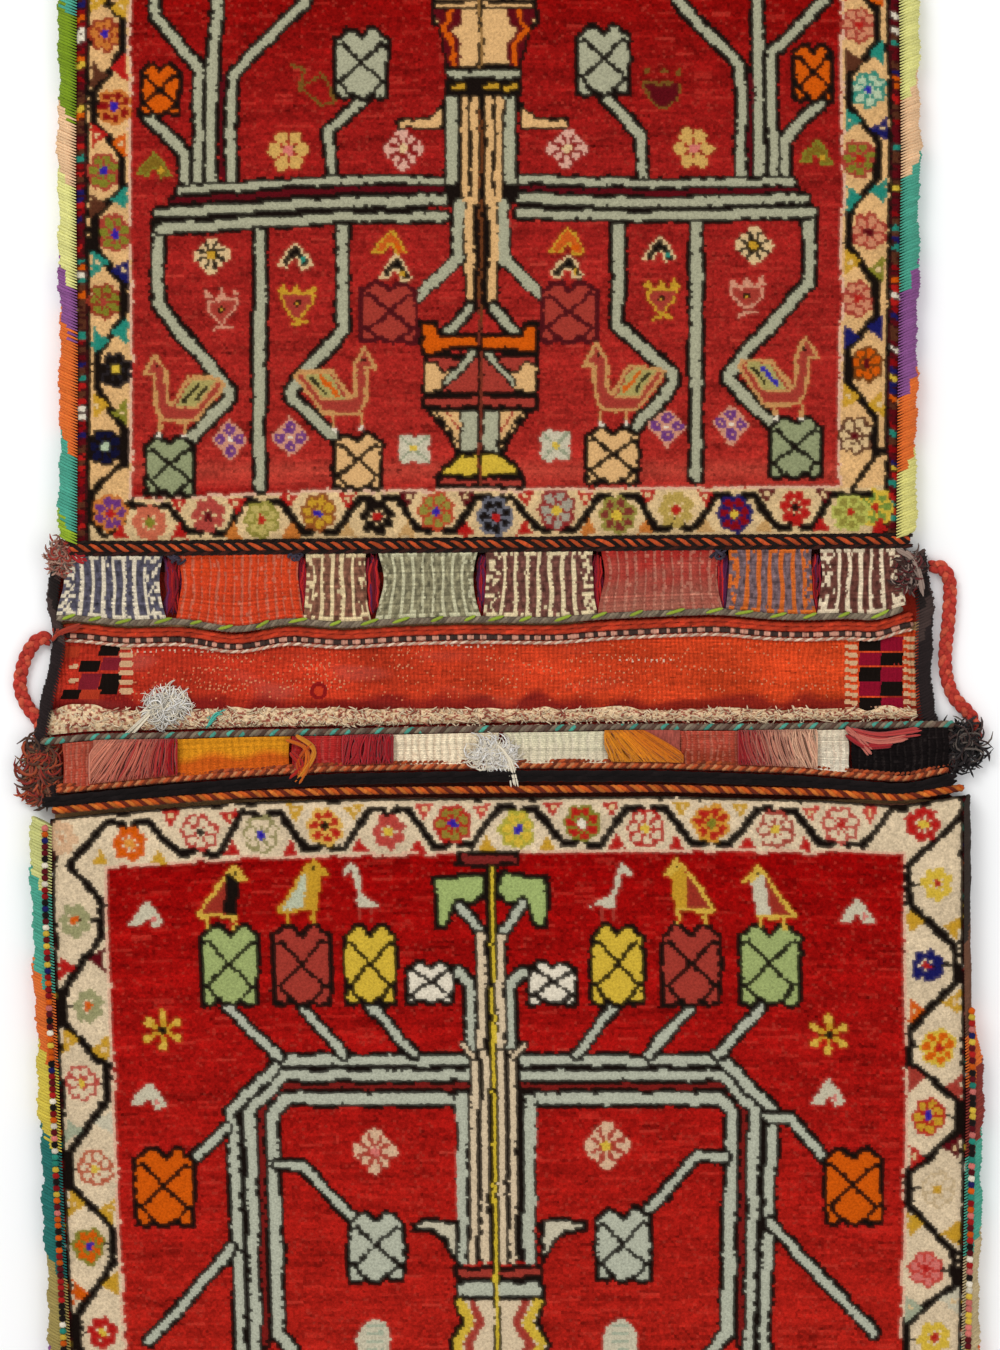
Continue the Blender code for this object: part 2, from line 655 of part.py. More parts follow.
def build():
    clear_scene()

    # Lengths of the two halves, so that the whole stays centred on Y
    rows_up = [
        BRIDGE_CLOTH_UP,
        TWINED_ROW_WIDTH,
        WELT_WIDTH,
        UPPER_CORD_WIDTH,
        UPPER_TAB_LENGTH,
        UPPER_ROPE_WIDTH,
    ]
    rows_down = [
        BRIDGE_CLOTH_DOWN,
        FRAYED_STRIP_LENGTH,
        LOWER_CORD_WIDTH,
        LOWER_TAB_LENGTH,
        LOWER_TWINED_WIDTH,
        LOWER_ROPE_WIDTH,
    ]
    up = sum(rows_up) + len(rows_up) * SEAT_GAP + (max(WANDER_HEIGHTS) + min(WANDER_HEIGHTS))
    down = sum(rows_down) + len(rows_down) * SEAT_GAP
    middle = (down - up) / 2

    # The near edge of each row, going up and going down from the bridge's middle line
    twined_y = middle + BRIDGE_CLOTH_UP + SEAT_GAP
    welt_y = twined_y + TWINED_ROW_WIDTH + SEAT_GAP
    cord_y = welt_y + WELT_WIDTH + SEAT_GAP
    upper_tab_y = cord_y + UPPER_CORD_WIDTH + SEAT_GAP
    upper_rope_y = middle + up - UPPER_ROPE_WIDTH - SEAT_GAP
    strip_y = middle - BRIDGE_CLOTH_DOWN - SEAT_GAP
    lower_cord_y = strip_y - FRAYED_STRIP_LENGTH - SEAT_GAP
    lower_tab_y = lower_cord_y - LOWER_CORD_WIDTH - SEAT_GAP
    lower_twined_y = lower_tab_y - LOWER_TAB_LENGTH - SEAT_GAP
    lower_rope_y = lower_twined_y - LOWER_TWINED_WIDTH - SEAT_GAP

    upper_widths = (UPPER_MOUTH_WIDTH, UPPER_BOTTOM_WIDTH)
    lower_widths = (LOWER_MOUTH_WIDTH, LOWER_BOTTOM_WIDTH)
    upper = Bag("upper", 1, UPPER_CENTRE_X, UPPER_BOTTOM_SHIFT, *upper_widths, middle + up)
    lower = Bag("lower", -1, LOWER_CENTRE_X, LOWER_BOTTOM_SHIFT, *lower_widths, middle - down)

    # Flat-woven back of both bags and the bridge between them, one strip of cloth
    bridge_left = BRIDGE_CENTRE_X - BRIDGE_WIDTH / 2
    bridge_right = BRIDGE_CENTRE_X + BRIDGE_WIDTH / 2
    shoulder = SIDE_BINDING_WIDTH
    edges = []
    for bag in (upper, lower):
        ends = [
            (bag.edge(FACE_LENGTH, -1), bag.edge(FACE_LENGTH, 1), bag.bottom_y),
            (bag.edge(0.0, -1), bag.edge(0.0, 1), bag.mouth_y),
            (bridge_left, bridge_right, bag.mouth_y - bag.way * shoulder),
        ]
        edges += ends if bag.way > 0 else ends[::-1]
    stations = [(left, right, lambda x, y=y: y) for left, right, y in edges]
    back = ribbed_sheet(stations, 0.0, BACK_THICKNESS, BACK_RIB_PITCH, BACK_RIB_HEIGHT)
    add_piece("kilim_back_and_bridge", back, BRIDGE_RED, smooth=False)

    for bag, field, band in ((upper, UPPER_RED, CREAM), (lower, LOWER_RED, IVORY)):
        pile_face(bag, field)
        border(bag, band)
        meander(bag)
        bottom_seam(bag, BRIDGE_RED)
    tree(upper, UPPER_STEMS, UPPER_VASES, UPPER_TRUNK, UPPER_CENTRE_VASE)
    tree(lower, LOWER_STEMS, LOWER_VASES, LOWER_TRUNK, LOWER_CENTRE_VASE)
    sides = [(upper, -1), (upper, 1), (lower, -1), (lower, 1)]
    for (bag, side), yarns in zip(sides, BINDING_YARNS):
        side_bindings(bag, side, yarns)

    # Rows of the upper mouth
    rope_left, rope_right = UPPER_TABS[0][1], UPPER_TABS[-1][2]
    cross_row(
        "upper_mouth_rope",
        rope_left,
        rope_right,
        upper_rope_y + UPPER_ROPE_WIDTH / 2,
        UPPER_ROPE_WIDTH,
        UPPER_ROPE_WIDTH,
        TAB_BASE,
        (0.14, 0.07, 0.04),
    )
    for name, left, right, colour in UPPER_TABS:
        far = upper_tab_y
        tab("upper_tab_" + name, left, right, upper_rope_y - SEAT_GAP, far, TAB_THICKNESS, colour, wander)
    cross_row(
        "upper_closure_cord",
        rope_left,
        rope_right,
        cord_y + UPPER_CORD_WIDTH / 2,
        UPPER_CORD_WIDTH,
        UPPER_CORD_WIDTH,
        TAB_BASE,
        (0.30, 0.27, 0.23),
        wander,
    )
    cross_row(
        "mouth_welt",
        bridge_left,
        bridge_right,
        welt_y + WELT_WIDTH / 2,
        WELT_WIDTH,
        WELT_HEIGHT,
        ROW_BASE,
        (0.66, 0.10, 0.04),
        wander,
    )
    cross_row(
        "bridge_twined_row",
        bridge_left,
        bridge_right,
        twined_y + TWINED_ROW_WIDTH / 2,
        TWINED_ROW_WIDTH,
        TWINED_ROW_HEIGHT,
        ROW_BASE,
        (0.30, 0.22, 0.20),
        wander,
    )

    # Rows of the lower mouth
    strip = ribbed_sheet(
        [
            (bridge_left, bridge_right, lambda x: strip_y),
            (bridge_left, bridge_right, lambda x: strip_y - FRAYED_STRIP_LENGTH),
        ],
        ROW_BASE,
        FRAYED_STRIP_THICKNESS,
        BACK_RIB_PITCH,
        BACK_RIB_HEIGHT,
    )
    add_piece("bridge_frayed_strip", strip, (0.50, 0.38, 0.24), smooth=False)
    lower_left, lower_right = LOWER_TABS[0][1], LOWER_TABS[-1][2]
    cross_row(
        "lower_closure_cord",
        lower_left,
        lower_right,
        lower_cord_y - LOWER_CORD_WIDTH / 2,
        LOWER_CORD_WIDTH,
        LOWER_CORD_WIDTH,
        TAB_BASE,
        (0.28, 0.24, 0.19),
    )
    for group, kind, thickness in (
        (LOWER_TABS, "lower_tab_", TAB_THICKNESS),
        (YARN_WRAPS, "lower_wrap_", WRAP_THICKNESS),
    ):
        for name, left, right, colour in group:
            far = lower_tab_y - LOWER_TAB_LENGTH
            tab(kind + name, left, right, lower_tab_y, far, thickness, colour, straight)
    cross_row(
        "lower_twined_row",
        lower_left,
        lower_right,
        lower_twined_y - LOWER_TWINED_WIDTH / 2,
        LOWER_TWINED_WIDTH,
        LOWER_TWINED_WIDTH,
        TAB_BASE,
        (0.45, 0.16, 0.07),
    )
    cross_row(
        "lower_mouth_rope",
        lower_left,
        lower_right,
        lower_rope_y - LOWER_ROPE_WIDTH / 2,
        LOWER_ROPE_WIDTH,
        LOWER_ROPE_WIDTH,
        TAB_BASE,
        (0.16, 0.08, 0.05),
    )

    # Black bindings along the sides of the bridge
    section = binding_section(SIDE_BINDING_WIDTH, SIDE_BINDING_HEIGHT)
    top_y = upper.mouth_y - shoulder
    low_y = lower.mouth_y + shoulder
    level = BINDING_LIFT + SIDE_BINDING_HEIGHT / 2
    for label, x, ends in (
        ("left", bridge_left - SEAT_GAP, (low_y, top_y)),
        ("right", bridge_right + SEAT_GAP, (top_y, low_y)),
    ):
        row = stitched_row(
            (x, ends[0]), (x, ends[1]), section, level, BINDING_STITCH, STITCH_SLANT, STITCH_DEPTH
        )
        add_piece(f"bridge_{label}_binding", row, BLACK)

    # Loose hanks of yarn beside the lower mouth, and the braided cords
    hank_y = lower.mouth_y + SEAT_GAP
    for name, side, colour in (
        ("left_loose_hank", -1, (0.30, 0.07, 0.05)),
        ("right_loose_hank", 1, (0.05, 0.045, 0.04)),
    ):
        x = side * (HANK_REACH - HANK_WIDTH / 2)
        ends = ((x, hank_y), (x, hank_y + HANK_LENGTH))
        hank(name, *ends, HANK_WIDTH, HANK_HEIGHT, SEAT_GAP, colour)
    braided_cord("left_braided_cord", LEFT_BRAID, (0.42, 0.03, 0.05))
    braided_cord("right_braided_cord", RIGHT_BRAID, (0.42, 0.03, 0.05))


build()
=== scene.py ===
"""The look of the kilim saddle bag: knotted-pile faces, ribbed kilim, closure tabs, cords and bindings.

The weaving is laid out in units of UNIT, with u to the right and v down the bag, as a weaver's
cartoon would be. A knot of the pile is one small quad with one colour.
"""

import math

import bpy
import numpy as np
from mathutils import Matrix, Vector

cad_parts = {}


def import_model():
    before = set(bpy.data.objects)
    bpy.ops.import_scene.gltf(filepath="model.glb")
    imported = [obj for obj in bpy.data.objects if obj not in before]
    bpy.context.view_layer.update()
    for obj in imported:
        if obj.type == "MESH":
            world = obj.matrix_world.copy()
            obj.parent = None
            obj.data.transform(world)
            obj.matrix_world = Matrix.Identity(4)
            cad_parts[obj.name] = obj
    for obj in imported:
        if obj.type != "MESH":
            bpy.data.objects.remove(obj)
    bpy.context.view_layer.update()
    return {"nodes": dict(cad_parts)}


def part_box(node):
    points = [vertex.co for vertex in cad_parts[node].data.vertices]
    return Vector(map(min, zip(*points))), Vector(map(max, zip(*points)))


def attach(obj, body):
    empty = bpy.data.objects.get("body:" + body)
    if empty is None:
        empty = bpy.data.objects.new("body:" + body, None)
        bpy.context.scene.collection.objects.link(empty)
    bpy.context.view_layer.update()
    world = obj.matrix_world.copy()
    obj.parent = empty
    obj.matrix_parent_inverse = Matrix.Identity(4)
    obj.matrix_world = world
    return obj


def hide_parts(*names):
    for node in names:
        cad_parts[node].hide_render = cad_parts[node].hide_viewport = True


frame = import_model()

UNIT = 1 / 1500
MIDDLE_U = 508.0
MIDDLE_V = 675.0

FACE_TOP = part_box("upper_pile_face")[1][2]
FACE_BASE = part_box("upper_pile_face")[0][2]
BACK_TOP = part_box("kilim_back_and_bridge")[1][2]

# Edges of the two pile faces, as (v, u) pairs down each side
UPPER_TOP_V = MIDDLE_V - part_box("upper_pile_face")[1][1] / UNIT
LOWER_END_V = MIDDLE_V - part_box("lower_pile_face")[0][1] / UNIT
UPPER_LEFT = [(UPPER_TOP_V, 76), (0, 75), (180, 74), (360, 76), (560, 75)]
UPPER_RIGHT = [(UPPER_TOP_V, 902), (0, 901), (150, 903), (360, 900), (560, 898)]
UPPER_MOUTH = [(50, 541), (150, 541), (300, 539), (500, 537), (700, 535), (920, 533)]
LOWER_LEFT = [(780, 50), (900, 50), (1050, 56), (1200, 62), (1350, 69), (LOWER_END_V, 76)]
LOWER_RIGHT = [(780, 966), (950, 966), (1100, 968), (1350, 963), (LOWER_END_V, 958)]
LOWER_MOUTH = [(40, 820), (100, 814), (170, 808), (250, 802), (340, 799), (660, 796), (820, 800),
               (900, 806), (970, 794)]

# Knots across and along each face
FACE_COLUMNS = 318
SEEN_ROWS = 210
UNSEEN_ROWS = 78

# How much deeper a dye is than the colour that the eye reads off the lit wool
DYE = 0.76

# How many cells a slab's plain underside has each way, and how much of the colour above each keeps
UNDER_CELLS = 24
UNDER_KEEPS = 0.4

# How far the far ends of a tube are drawn in
TIP = 0.3

rng = np.random.default_rng(7)


def tone(red, green, blue):
    """A display colour, 0 to 255, as the linear colour of wool."""
    shown = np.array([red, green, blue], float) / 255
    return DYE * np.where(shown <= 0.04045, shown / 12.92, ((shown + 0.055) / 1.055) ** 2.4)


BLACK = tone(26, 18, 14)
MAROON = tone(96, 14, 22)
CELADON = tone(178, 176, 146)
CREAM = tone(228, 194, 142)
PEACH = tone(230, 182, 122)
IVORY = tone(228, 204, 168)
ORANGE = tone(218, 92, 12)
BRICK = tone(170, 60, 48)
SAGE = tone(152, 158, 116)
YELLOW = tone(222, 186, 62)
GOLD = tone(206, 156, 44)
NAVY = tone(28, 28, 92)
BLUE = tone(44, 30, 160)
TEAL = tone(40, 138, 118)
OLIVE = tone(132, 128, 40)
RED = tone(186, 30, 26)
DEEP_RED = tone(140, 14, 18)
GREEN = tone(120, 146, 60)
PINK = tone(220, 120, 110)
WHITE = tone(240, 228, 204)
MINT = tone(190, 206, 170)
BROWN = tone(92, 50, 32)


def world(u, v):
    """Metres to the right and up, from the cartoon's u and v."""
    return (u - MIDDLE_U) * UNIT, (MIDDLE_V - v) * UNIT


def raised(u, v, z):
    """Points in space at (u, v) of the cartoon and at the height z."""
    x, y = world(u, v)
    return np.stack(np.broadcast_arrays(x, y, z), axis=-1)


def ends_of(node):
    """Where a node of the CAD model begins and ends down the bag."""
    low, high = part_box(node)
    return MIDDLE_V - high[1] / UNIT, MIDDLE_V - low[1] / UNIT


def shares(count):
    """Even steps from 0 to 1."""
    return np.linspace(0, 1, count)


def arch(t):
    """A hump over t from 0 to 1."""
    return np.sin(math.pi * t)


def crossed(first, second):
    """Two grids: first runs down the rows, second across the columns."""
    return np.meshgrid(first, second, indexing="ij")


def centres(corners):
    """The middle of each cell of a grid of corners."""
    return (corners[:-1, :-1] + corners[1:, 1:]) / 2


def block(left, top, right, bottom):
    """The corners of an upright rectangle."""
    return [(left, top), (right, top), (right, bottom), (left, bottom)]


def spokes(u0, v0, reach, count, turn=0.0, high=None):
    """Points at equal turns about (u0, v0), reach away from it, or high away up and down."""
    high = reach if high is None else high
    angles = [turn + 2 * math.pi * k / count for k in range(count)]
    return [(u0 + reach * math.cos(angle), v0 + high * math.sin(angle)) for angle in angles]


def mirrored(routes, axis):
    """The routes and their reflections about the line u = axis."""
    return list(routes) + [[(2 * axis - u, v) for u, v in route] for route in routes]


def facing(u, v, way):
    """A function for points beside (u, v), on the side given by way."""
    return lambda x, y: (u + way * x, v + y)


def alternate(values, first):
    """Each value with True or False by turns, beginning with first."""
    return [(value, (k % 2 == 0) == first) for k, value in enumerate(values)]


def bearings(points, up=(0.0, 0.0, 1.0), least=0.0):
    """The directions beside and above a route at each of its points."""
    ahead = np.gradient(points, axis=0)
    ahead /= np.linalg.norm(ahead, axis=1, keepdims=True) + least
    side = np.cross(ahead, np.asarray(up, float))
    side /= np.linalg.norm(side, axis=1, keepdims=True) + least
    return side, np.cross(side, ahead)


def distances(points):
    """How far along a route each of its points is."""
    steps = np.linalg.norm(np.diff(points, axis=0), axis=1)
    return np.concatenate([[0], np.cumsum(steps)])


def along(pairs, where):
    """The value at where on a line through (position, value) pairs, with its corners rounded."""
    pairs = np.array(pairs, float)
    spread = 14.0
    shifts = np.linspace(-spread, spread, 7)
    return sum(np.interp(where + s, pairs[:, 0], pairs[:, 1]) for s in shifts) / len(shifts)


def line_of(pairs, shift=0):
    """A function for the value on the line through pairs, moved by shift."""
    return lambda where: along(pairs, where) + shift


def ripple(x, y, size, seed):
    """Smooth noise of about -1 to 1, whose bumps are about size across."""
    local = np.random.default_rng(seed)
    waves = 6
    total = 0.0
    for _ in range(waves):
        angle, phase = local.uniform(0, 2 * math.pi, 2)
        pitch = size * local.uniform(0.7, 1.6)
        total = total + np.sin((x * math.cos(angle) + y * math.sin(angle)) * 2 * math.pi / pitch + phase)
    return total / math.sqrt(waves)


class Chart:
    """A weaver's cartoon: the colour of each knot, painted by where the knot lies."""

    def __init__(self, u, v):
        self.u = u
        self.v = v
        self.colour = np.zeros(u.shape + (3,))
        self.rows = (v.min(axis=1), v.max(axis=1))
        self.columns = (u.min(axis=0), u.max(axis=0))

    def window(self, low_u, low_v, high_u, high_v):
        """The rows and columns of knots that can lie in a rectangle, or None."""
        rows = np.nonzero((self.rows[0] <= high_v) & (self.rows[1] >= low_v))[0]
        columns = np.nonzero((self.columns[0] <= high_u) & (self.columns[1] >= low_u))[0]
        if len(rows) == 0 or len(columns) == 0:
            return None
        return slice(rows[0], rows[-1] + 1), slice(columns[0], columns[-1] + 1)

    def stain(self, part, mask, colour):
        self.colour[part][mask] = colour

    def polygon(self, points, colour):
        points = np.array(points, float)
        part = self.window(*points.min(axis=0), *points.max(axis=0))
        if part is None:
            return
        u, v = self.u[part], self.v[part]
        inside = np.zeros(u.shape, bool)
        for (u0, v0), (u1, v1) in zip(points, np.roll(points, -1, axis=0)):
            if v0 == v1:
                continue
            crosses = (v0 > v) != (v1 > v)
            inside ^= crosses & (u < (u1 - u0) * (v - v0) / (v1 - v0) + u0)
        self.stain(part, inside, colour)

    def line(self, points, width, colour):
        points = np.array(points, float)
        half = width / 2
        for (u0, v0), (u1, v1) in zip(points[:-1], points[1:]):
            part = self.window(min(u0, u1) - half, min(v0, v1) - half, max(u0, u1) + half, max(v0, v1) + half)
            if part is None:
                continue
            u, v = self.u[part], self.v[part]
            length = max((u1 - u0) ** 2 + (v1 - v0) ** 2, 1e-6)
            t = np.clip(((u - u0) * (u1 - u0) + (v - v0) * (v1 - v0)) / length, 0, 1)
            far = np.hypot(u - u0 - t * (u1 - u0), v - v0 - t * (v1 - v0))
            self.stain(part, far <= half, colour)

    def disc(self, u0, v0, radius, colour, flat=1.0):
        tall = radius * max(flat, 1.0)
        part = self.window(u0 - radius, v0 - tall, u0 + radius, v0 + tall)
        if part is None:
            return
        u, v = self.u[part], self.v[part]
        self.stain(part, np.hypot(u - u0, (v - v0) / flat) <= radius, colour)

    def uprights(self, places, top, bottom, width, colour):
        for u in places:
            self.line([(u, top), (u, bottom)], width, colour)

    def stems(self, routes, width, colour, edge=4.6):
        """Stems of one colour, outlined in black where they don't meet each other."""
        for route in routes:
            self.line(route, width + 2 * edge, BLACK)
        for route in routes:
            self.line(route, width, colour)

    def shape(self, points, colour, edge=5.2, outline=BLACK):
        """A filled shape with an outline."""
        self.polygon(points, colour)
        self.line(list(points) + [points[0]], edge, outline)

    def blossom(self, u0, v0, petal, core, ring=None, size=19.0, count=7, turn=0.0):
        """A round flower: lobed petals about a core, each with an outline of its own if ring is given."""
        places = spokes(u0, v0, size * 0.62, count, turn, size * 0.66)
        if ring is not None:
            for place in places:
                self.disc(*place, size * 0.4, ring)
            self.disc(u0, v0, size * 0.5, ring)
            for place in places:
                self.disc(*place, size * 0.23, petal)
            for place in places:
                middle = ((u0 + place[0]) / 2, (v0 + place[1]) / 2)
                self.line([(u0, v0), middle], 2.6, petal)
        else:
            for place in places:
                self.disc(*place, size * 0.3, petal)
                self.line([(u0, v0), place], 3.0, petal)
        self.disc(u0, v0, size * 0.23, core)

    def vase(self, left, top, right, bottom, colour, edge=BLACK):
        """A heart-topped vase with crossed lines inside."""
        wide, high = right - left, bottom - top
        line = 4.2

        def at(x, y):
            return left + wide * x, top + high * y

        rim = [(0.02, 0.14), (0.14, 0.08), (0.22, 0), (0.36, 0), (0.5, 0.13), (0.64, 0), (0.78, 0),
               (0.86, 0.08),
               (0.98, 0.14), (0.98, 0.5), (0.96, 0.98), (0.78, 1), (0.66, 0.93), (0.57, 1), (0.43, 1),
               (0.34, 0.93), (0.22, 1), (0.04, 0.98), (0.02, 0.5)]
        self.shape([at(x, y) for x, y in rim], colour, outline=edge)
        inner_lines = [
            ([(0.15, 0.2), (0.5, 0.48), (0.88, 0.76)], line), ([(0.12, 0.76), (0.34, 0.97)], line),
            ([(0.02, 0.75), (0.14, 0.75)], line), ([(0.03, 0.24), (0.16, 0.21)], line - 0.8),
        ]
        for flipped in (False, True):
            for route, width in inner_lines:
                self.line([at(1 - x if flipped else x, y) for x, y in route], width, edge)

    def rosette(self, u0, v0, pale, dark, core, size):
        """A diamond of eight-armed rosette, with dark arms between pale ones."""
        for place in spokes(u0, v0, 0.6 * size, 4):
            self.disc(*place, size * 0.4, pale)
        self.disc(u0, v0, size * 0.78, pale)
        turn = math.pi / 8
        for arm in zip(spokes(u0, v0, 0.3 * size, 8, turn), spokes(u0, v0, 0.72 * size, 8, turn)):
            self.line(arm, size * 0.2, dark)
        self.disc(u0, v0, size * 0.22, core)

    def triangle(self, u0, v0, size, colour, up=True, core=None):
        way = 1 if up else -1
        corners = [(u0, v0 - way * size), (u0 + size, v0 + way * size * 0.7),
                   (u0 - size, v0 + way * size * 0.7)]
        self.polygon(corners, colour)
        if core is not None:
            self.disc(u0, v0 + way * size * 0.15, size * 0.28, core)

    def beads(self, edge, left, right, top, bottom, pitch, shades):
        """A guard stripe: beads of many wools, one after another, from left to right of the line edge."""
        step = top
        while step < bottom:
            colour = shades[int(rng.integers(len(shades)))]
            height = pitch * rng.uniform(0.7, 1.1)
            low, high = edge(step + height / 2) + left, edge(step + height / 2) + right
            self.polygon([(low, step), (high, step - 2), (high, step + height - 2), (low, step + height)],
                         colour)
            step += height + 1.6


# Building meshes


def put(name, data):
    """A new object in the scene."""
    made = bpy.data.objects.new(name, data)
    bpy.context.scene.collection.objects.link(made)
    return made


class Cloth:
    """Quads gathered for one mesh, each with its own colour or a colour at each corner."""

    def __init__(self):
        self.verts = []
        self.quads = []
        self.colours = []
        self.count = 0

    def add(self, verts, quads, colours):
        """Adds quads with one colour in all, one for each quad, or one for each corner."""
        self.verts.append(verts.reshape(-1, 3))
        self.quads.append(quads.reshape(-1, 4) + self.count)
        colours = np.asarray(colours, float)
        if colours.ndim < 3:
            colours = np.broadcast_to(colours, (len(self.quads[-1]), 3))[:, None, :]
        self.colours.append(np.broadcast_to(colours, (len(self.quads[-1]), 4, 3)))
        self.count += len(self.verts[-1])

    def grid(self, points, colours, blend=0.0):
        """A grid of points, rows by columns, with a colour for each cell. blend mixes in the neighbours'."""
        rows, columns = points.shape[:2]
        index = np.arange(rows * columns).reshape(rows, columns)
        quads = np.stack([index[:-1, :-1], index[1:, :-1], index[1:, 1:], index[:-1, 1:]], axis=-1)
        cells = colours.reshape(-1, 1, 3)
        if blend > 0.0:
            padded = np.pad(colours, ((1, 1), (1, 1), (0, 0)), mode="edge")
            corner = (padded[:-1, :-1] + padded[1:, :-1] + padded[1:, 1:] + padded[:-1, 1:]) / 4
            around = corner.reshape(-1, 3)[quads.reshape(-1, 4)]
            cells = cells * (1 - blend) + around * blend
        self.add(points, quads, np.broadcast_to(cells, (quads.size // 4, 4, 3)))

    def slab(self, x, y, top, bottom, colours, blend=0.0):
        """A grid of cells on top, walls at its rim in a painted shade of the colours beside them, and a plain
        underside at the height bottom.
        """
        rows, columns = x.shape
        upper = np.stack([x, y, top], axis=-1)
        self.grid(upper, colours, blend)
        floor = np.full_like(x, bottom) if np.isscalar(bottom) else bottom
        rim = [(0, c) for c in range(columns)] + [(r, columns - 1) for r in range(1, rows)]
        rim += [(rows - 1, c) for c in range(columns - 2, -1, -1)] + [(r, 0) for r in range(rows - 2, 0, -1)]
        rim = np.array(rim)
        high = upper[rim[:, 0], rim[:, 1]]
        low = high.copy()
        low[:, 2] = floor[rim[:, 0], rim[:, 1]]
        ring = np.arange(len(rim))
        after = np.roll(ring, -1)
        near = colours[np.minimum(rim[:, 0], rows - 2), np.minimum(rim[:, 1], columns - 2)]
        walls = np.stack([ring, after, after + len(rim), ring + len(rim)], axis=-1)
        # Painted shade: the walls are 0.8 as bright as the cells beside them.
        self.add(np.concatenate([high, low]), walls, near * 0.8)
        under = np.stack([x, y, floor], axis=-1)
        picked_r = sorted(set(range(0, rows, max(1, (rows - 1) // UNDER_CELLS))) | {rows - 1})
        picked_c = sorted(set(range(0, columns, max(1, (columns - 1) // UNDER_CELLS))) | {columns - 1})
        coarse = under[np.ix_(picked_r, picked_c)][:, ::-1]
        below = colours[np.ix_(picked_r[:-1], picked_c[:-1])][:, ::-1]
        shade = colours.reshape(-1, 3).mean(axis=0)
        self.grid(coarse, below * UNDER_KEEPS + shade * (1 - UNDER_KEEPS))

    def tube(self, points, radius, colours, sides=5, up=(0.0, 0.0, 1.0)):
        """A tube along points, drawn in at its ends.

        radius and colours may be one value, or one for each point or stretch.
        """
        points = np.asarray(points, float)
        n = len(points)
        side, rise = bearings(points, up, 1e-12)
        radius = np.broadcast_to(np.asarray(radius, float), (n,)).copy()
        radius[[0, -1]] *= TIP
        angle = np.arange(sides) * 2 * math.pi / sides
        ring = side[:, None, :] * np.cos(angle)[None, :, None]
        ring = ring + rise[:, None, :] * np.sin(angle)[None, :, None]
        verts = points[:, None, :] + ring * radius[:, None, None]
        index = np.arange(n * sides).reshape(n, sides)
        after = np.roll(index, -1, axis=1)
        quads = np.stack([index[:-1], after[:-1], after[1:], index[1:]], axis=-1)
        colours = np.asarray(colours, float)
        if colours.ndim == 2:
            colours = np.repeat(colours[: n - 1], sides, axis=0)
        self.add(verts, quads, colours)

    def piece(self, name, material, replaces=()):
        """The gathered quads as one object, dressing the nodes named in replaces."""
        verts = np.concatenate(self.verts)
        quads = np.concatenate(self.quads)
        mesh = bpy.data.meshes.new(name)
        mesh.vertices.add(len(verts))
        mesh.vertices.foreach_set("co", verts.astype(np.float32).ravel())
        mesh.loops.add(quads.size)
        mesh.loops.foreach_set("vertex_index", quads.astype(np.int32).ravel())
        mesh.polygons.add(len(quads))
        mesh.polygons.foreach_set("loop_start", np.arange(0, quads.size, 4, dtype=np.int32))
        mesh.polygons.foreach_set("use_smooth", np.ones(len(quads), bool))
        mesh.update(calc_edges=True)
        mesh.validate()
        wool = mesh.color_attributes.new("wool", "FLOAT_COLOR", "CORNER")
        corners = np.ones((len(quads), 4, 4), np.float32)
        corners[:, :, :3] = np.clip(np.concatenate(self.colours), 0, 1)
        wool.data.foreach_set("color", corners.ravel())
        mesh.materials.append(material)
        made = put(name, mesh)
        if replaces:
            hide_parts(*replaces)
        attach(made, "root")
        return made


# Materials


def settle(node, values):
    """Sets a node's inputs by their names."""
    for name, value in values.items():
        node.inputs[name].default_value = value


def woollen(name, roughness, sheen, grain, depth, shade=0.12, gloss=0.05):
    """A material whose colour comes from the mesh, with a fibrous bump and small changes of shade."""
    made = bpy.data.materials.new(name)
    made.use_nodes = True
    nodes, links = made.node_tree.nodes, made.node_tree.links
    shader = nodes["Principled BSDF"]
    settle(shader, {"Roughness": roughness, "Sheen Weight": sheen, "Sheen Roughness": 0.6,
                    "Specular IOR Level": gloss})
    colour = nodes.new("ShaderNodeAttribute")
    colour.attribute_name = "wool"
    place = nodes.new("ShaderNodeTexCoord")
    fibre = nodes.new("ShaderNodeTexNoise")
    settle(fibre, {"Scale": grain, "Detail": 3.0})
    links.new(place.outputs["Object"], fibre.inputs["Vector"])
    span = nodes.new("ShaderNodeMapRange")
    settle(span, {"From Min": 0.25, "From Max": 0.75, "To Min": 1.0 - shade, "To Max": 1.0 + shade})
    links.new(fibre.outputs["Fac"], span.inputs["Value"])
    tint = nodes.new("ShaderNodeVectorMath")
    tint.operation = "SCALE"
    links.new(colour.outputs["Color"], tint.inputs[0])
    links.new(span.outputs["Result"], tint.inputs["Scale"])
    links.new(tint.outputs["Vector"], shader.inputs["Base Color"])
    bump = nodes.new("ShaderNodeBump")
    settle(bump, {"Strength": 0.7, "Distance": depth})
    links.new(fibre.outputs["Fac"], bump.inputs["Height"])
    links.new(bump.outputs["Normal"], shader.inputs["Normal"])
    return made


PILE = woollen("knotted_pile", 0.95, 0.0, 700, 0.0010, 0.26, 0.02)
FLATWEAVE = woollen("flat_weave", 0.95, 0.01, 1300, 0.0006, 0.3, 0.03)
YARN = woollen("spun_yarn", 0.85, 0.04, 1000, 0.0005, 0.22)
SILKY = woollen("silky_yarn", 0.5, 0.12, 700, 0.0003, 0.14)
LINT = woollen("cotton_lint", 0.9, 0.08, 900, 0.0004, 0.08)


# Pile faces


